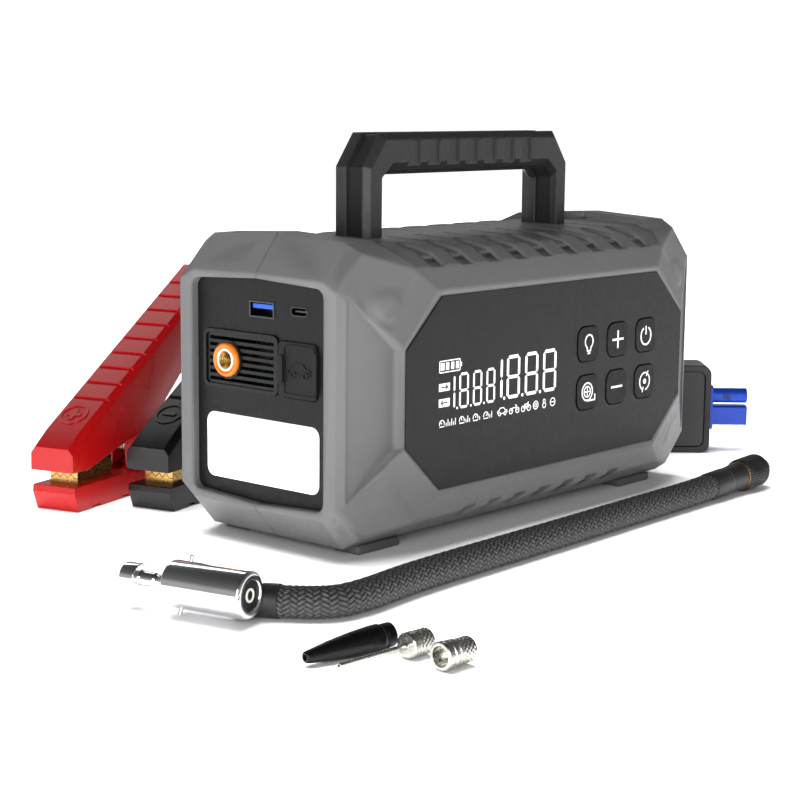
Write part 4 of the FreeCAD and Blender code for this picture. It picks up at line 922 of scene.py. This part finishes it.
def make_hose():
    """The braided tube; its corners keep the height of the weave, which the yarn material uses for painted
    shade and highlight.
    """
    centres = hose_centreline()
    bm = bmesh.new()
    yarn = bm.verts.layers.float.new("yarn")
    rings, side, run = [], None, 0.0
    for i, centre in enumerate(centres):
        ahead = (centres[min(i + 1, len(centres) - 1)] - centres[max(i - 1, 0)]).normalized()
        side = ahead.cross(AXIS_Z) if side is None else side - ahead * side.dot(ahead)
        side.normalize()
        other = side.cross(ahead)
        run += (centre - centres[i - 1]).length / MM if i else 0
        ring = []
        for k in range(BRAID_ROUND):
            share = k / BRAID_ROUND
            height = braid_height(share, run)
            radius = (HOSE_RADIUS - BRAID_RELIEF * (1 - height)) * MM
            angle = math.tau * share
            vertex = bm.verts.new(centre + (side * math.cos(angle) + other * math.sin(angle)) * radius)
            vertex[yarn] = height
            ring.append(vertex)
        rings.append(ring)
    skin(bm, rings)
    mesh = mesh_of(bm, "hose_braid_mesh", 80)
    hose = add_piece("hose_braid", mesh, MATERIALS["braid"], "hose_set", ["hose"])
    return hose, centres


PLUG_AT, PLUG_HEADING = (-200.6, -78.2, 11.0), math.radians(102.4)
BARREL_RADIUS, BARREL_LONG = 8.4, 33.0
PIN_FROM_FACE, PIN_WAY = 27.0, Vector((0.366, 0.080, 0.927))
KNURL_FROM, KNURL_TO, KNURL_COUNT = 28.9, 43.3, 40


def make_air_plug():
    """Chrome barrel with its two side pins, face insert, liner and stem."""
    heading = Vector((math.cos(PLUG_HEADING), math.sin(PLUG_HEADING), 0))
    spot = spot_along(PLUG_AT, heading)
    r, end = BARREL_RADIUS, BARREL_LONG
    barrel = [(0, 1.6), (5.4, 1.6), (5.4, 0.35), (5.9, 0), (r - 0.9, 0), (r, 0.9), (r, end - 0.9),
              (r - 0.9, end), (0, end)]
    shell = turned("air_plug_barrel", barrel, spot, "chrome", 128, ease=0.6)
    pins = bmesh.new()
    for way in (1, -1):
        aside = PIN_WAY * way
        foot = spot @ mm(0, 0, PIN_FROM_FACE) + aside * (r - 0.3) * MM
        pin_spot = spot_along(tuple(foot / MM), aside)
        mesh = revolved("pin", eased([(0, 0), (0.8, 0), (0.8, 2.5), (0, 2.5)], 0.25), pin_spot, 24)
        pins.from_mesh(mesh)
        bpy.data.meshes.remove(mesh)
    mesh = mesh_of(pins, "air_plug_pins_mesh")
    studs = add_piece("air_plug_pins", mesh, MATERIALS["chrome"], "hose_set")
    insert = [(0, 0.7), (1.3, 0.7), (1.3, 1.0), (5.35, 0.75), (5.35, 1.6), (0, 1.6)]
    disc = turned("air_plug_insert", insert, spot, "insert", 72, ease=0.1)
    liner = [(1.7, 0.55), (2.5, 0.55), (2.5, 1.1), (1.7, 1.1)]
    mesh = revolved("air_plug_liner_mesh", eased(liner, 0.1), spot, 64)
    ring = add_piece("air_plug_liner", mesh, CREAM, "hose_set")
    stem = [(0, end - 0.1), (2.7, end - 0.1), (2.7, end + 4), (2.2, end + 4.6), (2.2, end + 6),
            (2.7, end + 6.6), (2.7, end + 13), (5.2, end + 13), (5.2, end + 19), (4.2, end + 20),
            (0, end + 20)]
    neck = turned("air_plug_stem", stem, spot, "chrome", 72, ease=0.4)
    return [shell, studs, disc, ring, neck]


def chuck_knurl(angle, radius, distance):
    """Straight grooves round the collar, fading out at its rims."""
    fade = min(1, max(0, min(distance - KNURL_FROM, KNURL_TO - distance) / 0.8))
    groove = max(0, math.cos(KNURL_COUNT * angle)) ** 0.7
    return radius - 0.55 * groove * fade if radius > 7 else radius


def make_chuck(last, before):
    """Sleeve, brass band and tip, and the collar that turns on it, on the hose's last point."""
    spot = spot_along(tuple(last / MM), last - before)
    sleeve = [(0, 0), (6.1, 0), (6.1, 13.8), (5.8, 14.4), (5.8, 15.2), (6.4, 26), (6.4, 27.1), (0, 27.1)]
    neck = turned("chuck_sleeve", sleeve, spot, "fitting_black", 80, ease=0.5)
    ring = [(4.8, 27.1), (6.6, 27.1), (6.6, 27.6), (4.8, 27.6)]
    band = lathe("chuck_band", ring, spot, "brass", "hose_set", (), 72, ease=0.08)
    core = [(0, 27.2), (3.6, 27.2), (3.6, 45.15), (4.8, 45.15), (4.8, 48.8), (3.7, 50), (1.7, 50),
            (1.6, 43), (0, 43)]
    tip = turned("chuck_core", core, spot, "brass", 64, ease=0.2)
    collar = [(3.7, 27.75), (6.8, 27.75), (7.5, 28.8), (7.5, 43.4), (6.2, 45), (3.7, 45)]
    grip = turned("chuck_collar", collar, spot, "fitting_black", 400, chuck_knurl, 0.3, 0.8)
    return [neck, band, tip, grip]


def make_hose_sleeve():
    """Sleeve at the plug end. It keeps the CAD's saddle, which fits the barrel."""
    return [softened("hose_sleeve", "fitting_black", 0.35)]


# ---------------------------------------- adapters
def diamond_knurl(low, high, least):
    """Ripple of crossed grooves between two distances, on radii of at least `least`."""
    def ripple(angle, radius, distance):
        if radius < least or not low <= distance <= high:
            return radius
        fade = min(1, min(distance - low, high - distance) / 0.5)
        one, two = math.cos(15 * angle + distance * 3.4), math.cos(15 * angle - distance * 3.4)
        return radius - 0.16 * fade * (max(0, one) + max(0, two))
    return ripple


def lying(tip, tilt, heading):
    """Frame of a thing that lies on the floor, pointing back along +X from its tip."""
    turn = Matrix.Rotation(math.radians(heading), 4, "Z") @ Matrix.Rotation(math.radians(90 - tilt), 4, "Y")
    return Matrix.Translation(mm(*tip)) @ turn


def make_adapters():
    nozzle = [(1.0, 0), (1.6, 0), (2.0, 0.5), (2.2, 2), (3.35, 9.8), (4.2, 18.7), (4.6, 26.5), (4.6, 29.3),
              (4.0, 30.2), (4.0, 31), (4.15, 31.2), (4.15, 34.4), (3.0, 34.4), (3.0, 26), (1.0, 17)]
    lathe("nozzle_adapter_moulded", nozzle, lying((-221.0, -122.6, 3.18), 2.9, -10.8), "socket_black",
          "nozzle", ["nozzle_adapter"], 80, ease=0.7)
    needle = [(0.45, 0), (0.75, 0), (0.9, 0.3), (0.9, 29), (1.3, 29.8), (3.9, 29.8), (4.4, 30.4), (4.4, 32.6),
              (4.1, 33), (4.1, 33.4), (4.3, 33.7), (4.3, 39.2), (2.6, 39.2), (2.6, 32.4), (0.45, 31.4)]
    turned("needle_adapter", needle, lying((-222.7, -138.8, 4.43), 0.0, -3.3), "nickel", 240,
           diamond_knurl(34.0, 39.0, 4.2), 0.12, 0.3)
    valve = [(3.4, 0), (4.4, 0), (4.8, 0.5), (4.8, 2), (4.2, 2.4), (4.2, 3), (4.6, 3.3), (4.6, 4.6), (4.1, 5),
             (4.1, 5.5), (4.5, 5.7), (4.5, 6.4), (4.3, 6.7), (4.3, 12.8), (2.7, 12.8), (2.7, 8), (1.4, 8),
             (1.4, 5), (3.4, 5)]
    turned("valve_adapter", valve, lying((-195.3, -156.7, 4.83), 0.0, -4.0), "nickel", 240,
           diamond_knurl(7.0, 12.6, 4.2), 0.12, 0.3)


# ---------------------------------------- stage
def area_light(name, place, aim, size, power):
    data = bpy.data.lights.new(name, "AREA")
    data.shape, data.size, data.size_y = "RECTANGLE", *size
    data.energy = power
    lamp = bpy.data.objects.new(name, data)
    bpy.context.scene.collection.objects.link(lamp)
    lamp.location = place
    lamp.rotation_mode = "QUATERNION"
    lamp.rotation_quaternion = (Vector(aim) - Vector(place)).to_track_quat("-Z", "Y")
    return lamp


FLOOR_HALF = 6.0
GLOW_FROM, GLOW_FULL = 0.4, 1.1
# Height in the world, 0 straight down to 1 straight up, and its brightness.
WORLD_BANDS = ((0.0, 0.4), (0.49, 0.5), (0.55, 0.42), (0.63, 0.5), (0.74, 0.16), (0.95, 0.05))


def make_floor():
    """White paper that brightens away from the object, so that it meets the backdrop without a line."""
    bm = bmesh.new()
    bmesh.ops.create_grid(bm, x_segments=2, y_segments=2, size=FLOOR_HALF)
    floor = bpy.data.objects.new("floor", mesh_of(bm, "floor_mesh"))
    bpy.context.scene.collection.objects.link(floor)
    look = Look("floor_paper", Roughness=0.7)
    look.paint(look.mix(look.spread(look.noise(3, 2), 0, 1), (0.9, 0.9, 0.9, 1), (0.92, 0.92, 0.92, 1)))
    look.bump(look.noise(240, 3), 0.01)
    reach = look.node("ShaderNodeVectorMath", operation="LENGTH")
    look.link(look.place, reach.inputs[0])
    glow = look.mix(look.spread(reach.outputs["Value"], 0, 1, GLOW_FROM, GLOW_FULL), (0, 0, 0, 1),
                    (0.9, 0.9, 0.9, 1))
    look.link(glow, look.shader.inputs["Emission Color"])
    look.shader.inputs["Emission Strength"].default_value = 1.0
    floor.data.materials.append(look.material)
    return floor


def make_world():
    """Studio surround: bright round the horizon, dark overhead, white to the camera."""
    world = bpy.data.worlds.new("studio")
    bpy.context.scene.world = world
    world.use_nodes = True
    tree = world.node_tree
    back = tree.nodes["Background"]
    place = tree.nodes.new("ShaderNodeTexCoord")
    split = tree.nodes.new("ShaderNodeSeparateXYZ")
    ramp = tree.nodes.new("ShaderNodeValToRGB")
    steps = ramp.color_ramp.elements
    while len(steps) < len(WORLD_BANDS):
        steps.new(0.5)
    for step, (position, value) in zip(steps, WORLD_BANDS):
        step.position, step.color = position, (value, value, value, 1)
    raise_up = tree.nodes.new("ShaderNodeMath")
    raise_up.operation = "MULTIPLY_ADD"
    raise_up.inputs[1].default_value, raise_up.inputs[2].default_value = 0.5, 0.5
    tree.links.new(place.outputs["Generated"], split.inputs["Vector"])
    tree.links.new(split.outputs["Z"], raise_up.inputs[0])
    tree.links.new(raise_up.outputs["Value"], ramp.inputs["Fac"])
    path = tree.nodes.new("ShaderNodeLightPath")
    blend = tree.nodes.new("ShaderNodeMix")
    blend.data_type = "RGBA"
    tree.links.new(path.outputs["Is Camera Ray"], blend.inputs["Factor"])
    tree.links.new(ramp.outputs["Color"], blend.inputs[6])
    blend.inputs[7].default_value = (1.05, 1.05, 1.05, 1)
    tree.links.new(blend.outputs[2], back.inputs["Color"])
    back.inputs["Strength"].default_value = 1.0


def make_stage():
    floor = make_floor()
    make_world()
    area_light("key", (-1.35, -0.95, 0.42), (0, 0, 0.06), (0.7, 0.8), 17)
    area_light("rim", (0.5, 0.9, 1.0), (0, 0, 0.08), (1.2, 0.25), 3)
    wash = area_light("floor_wash", (-0.1, 0.25, 1.5), (-0.05, -0.05, 0), (1.3, 1.3), 62)
    only_floor = bpy.data.collections.new("floor_only")
    only_floor.objects.link(floor)
    wash.light_linking.receiver_collection = only_floor
    bpy.context.scene.view_settings.view_transform = "Standard"


# ---------------------------------------- build
make_camera()
hose, hose_line = make_hose()
hose_ends = make_air_plug() + make_hose_sleeve() + make_chuck(hose_line[-1], hose_line[-2])
make_housing()
make_outlet()
make_socket_details()
make_display()
make_buttons()
make_clamp("red", "plus")
make_clamp("black", "minus")
make_lead_box()
make_adapters()
make_stage()
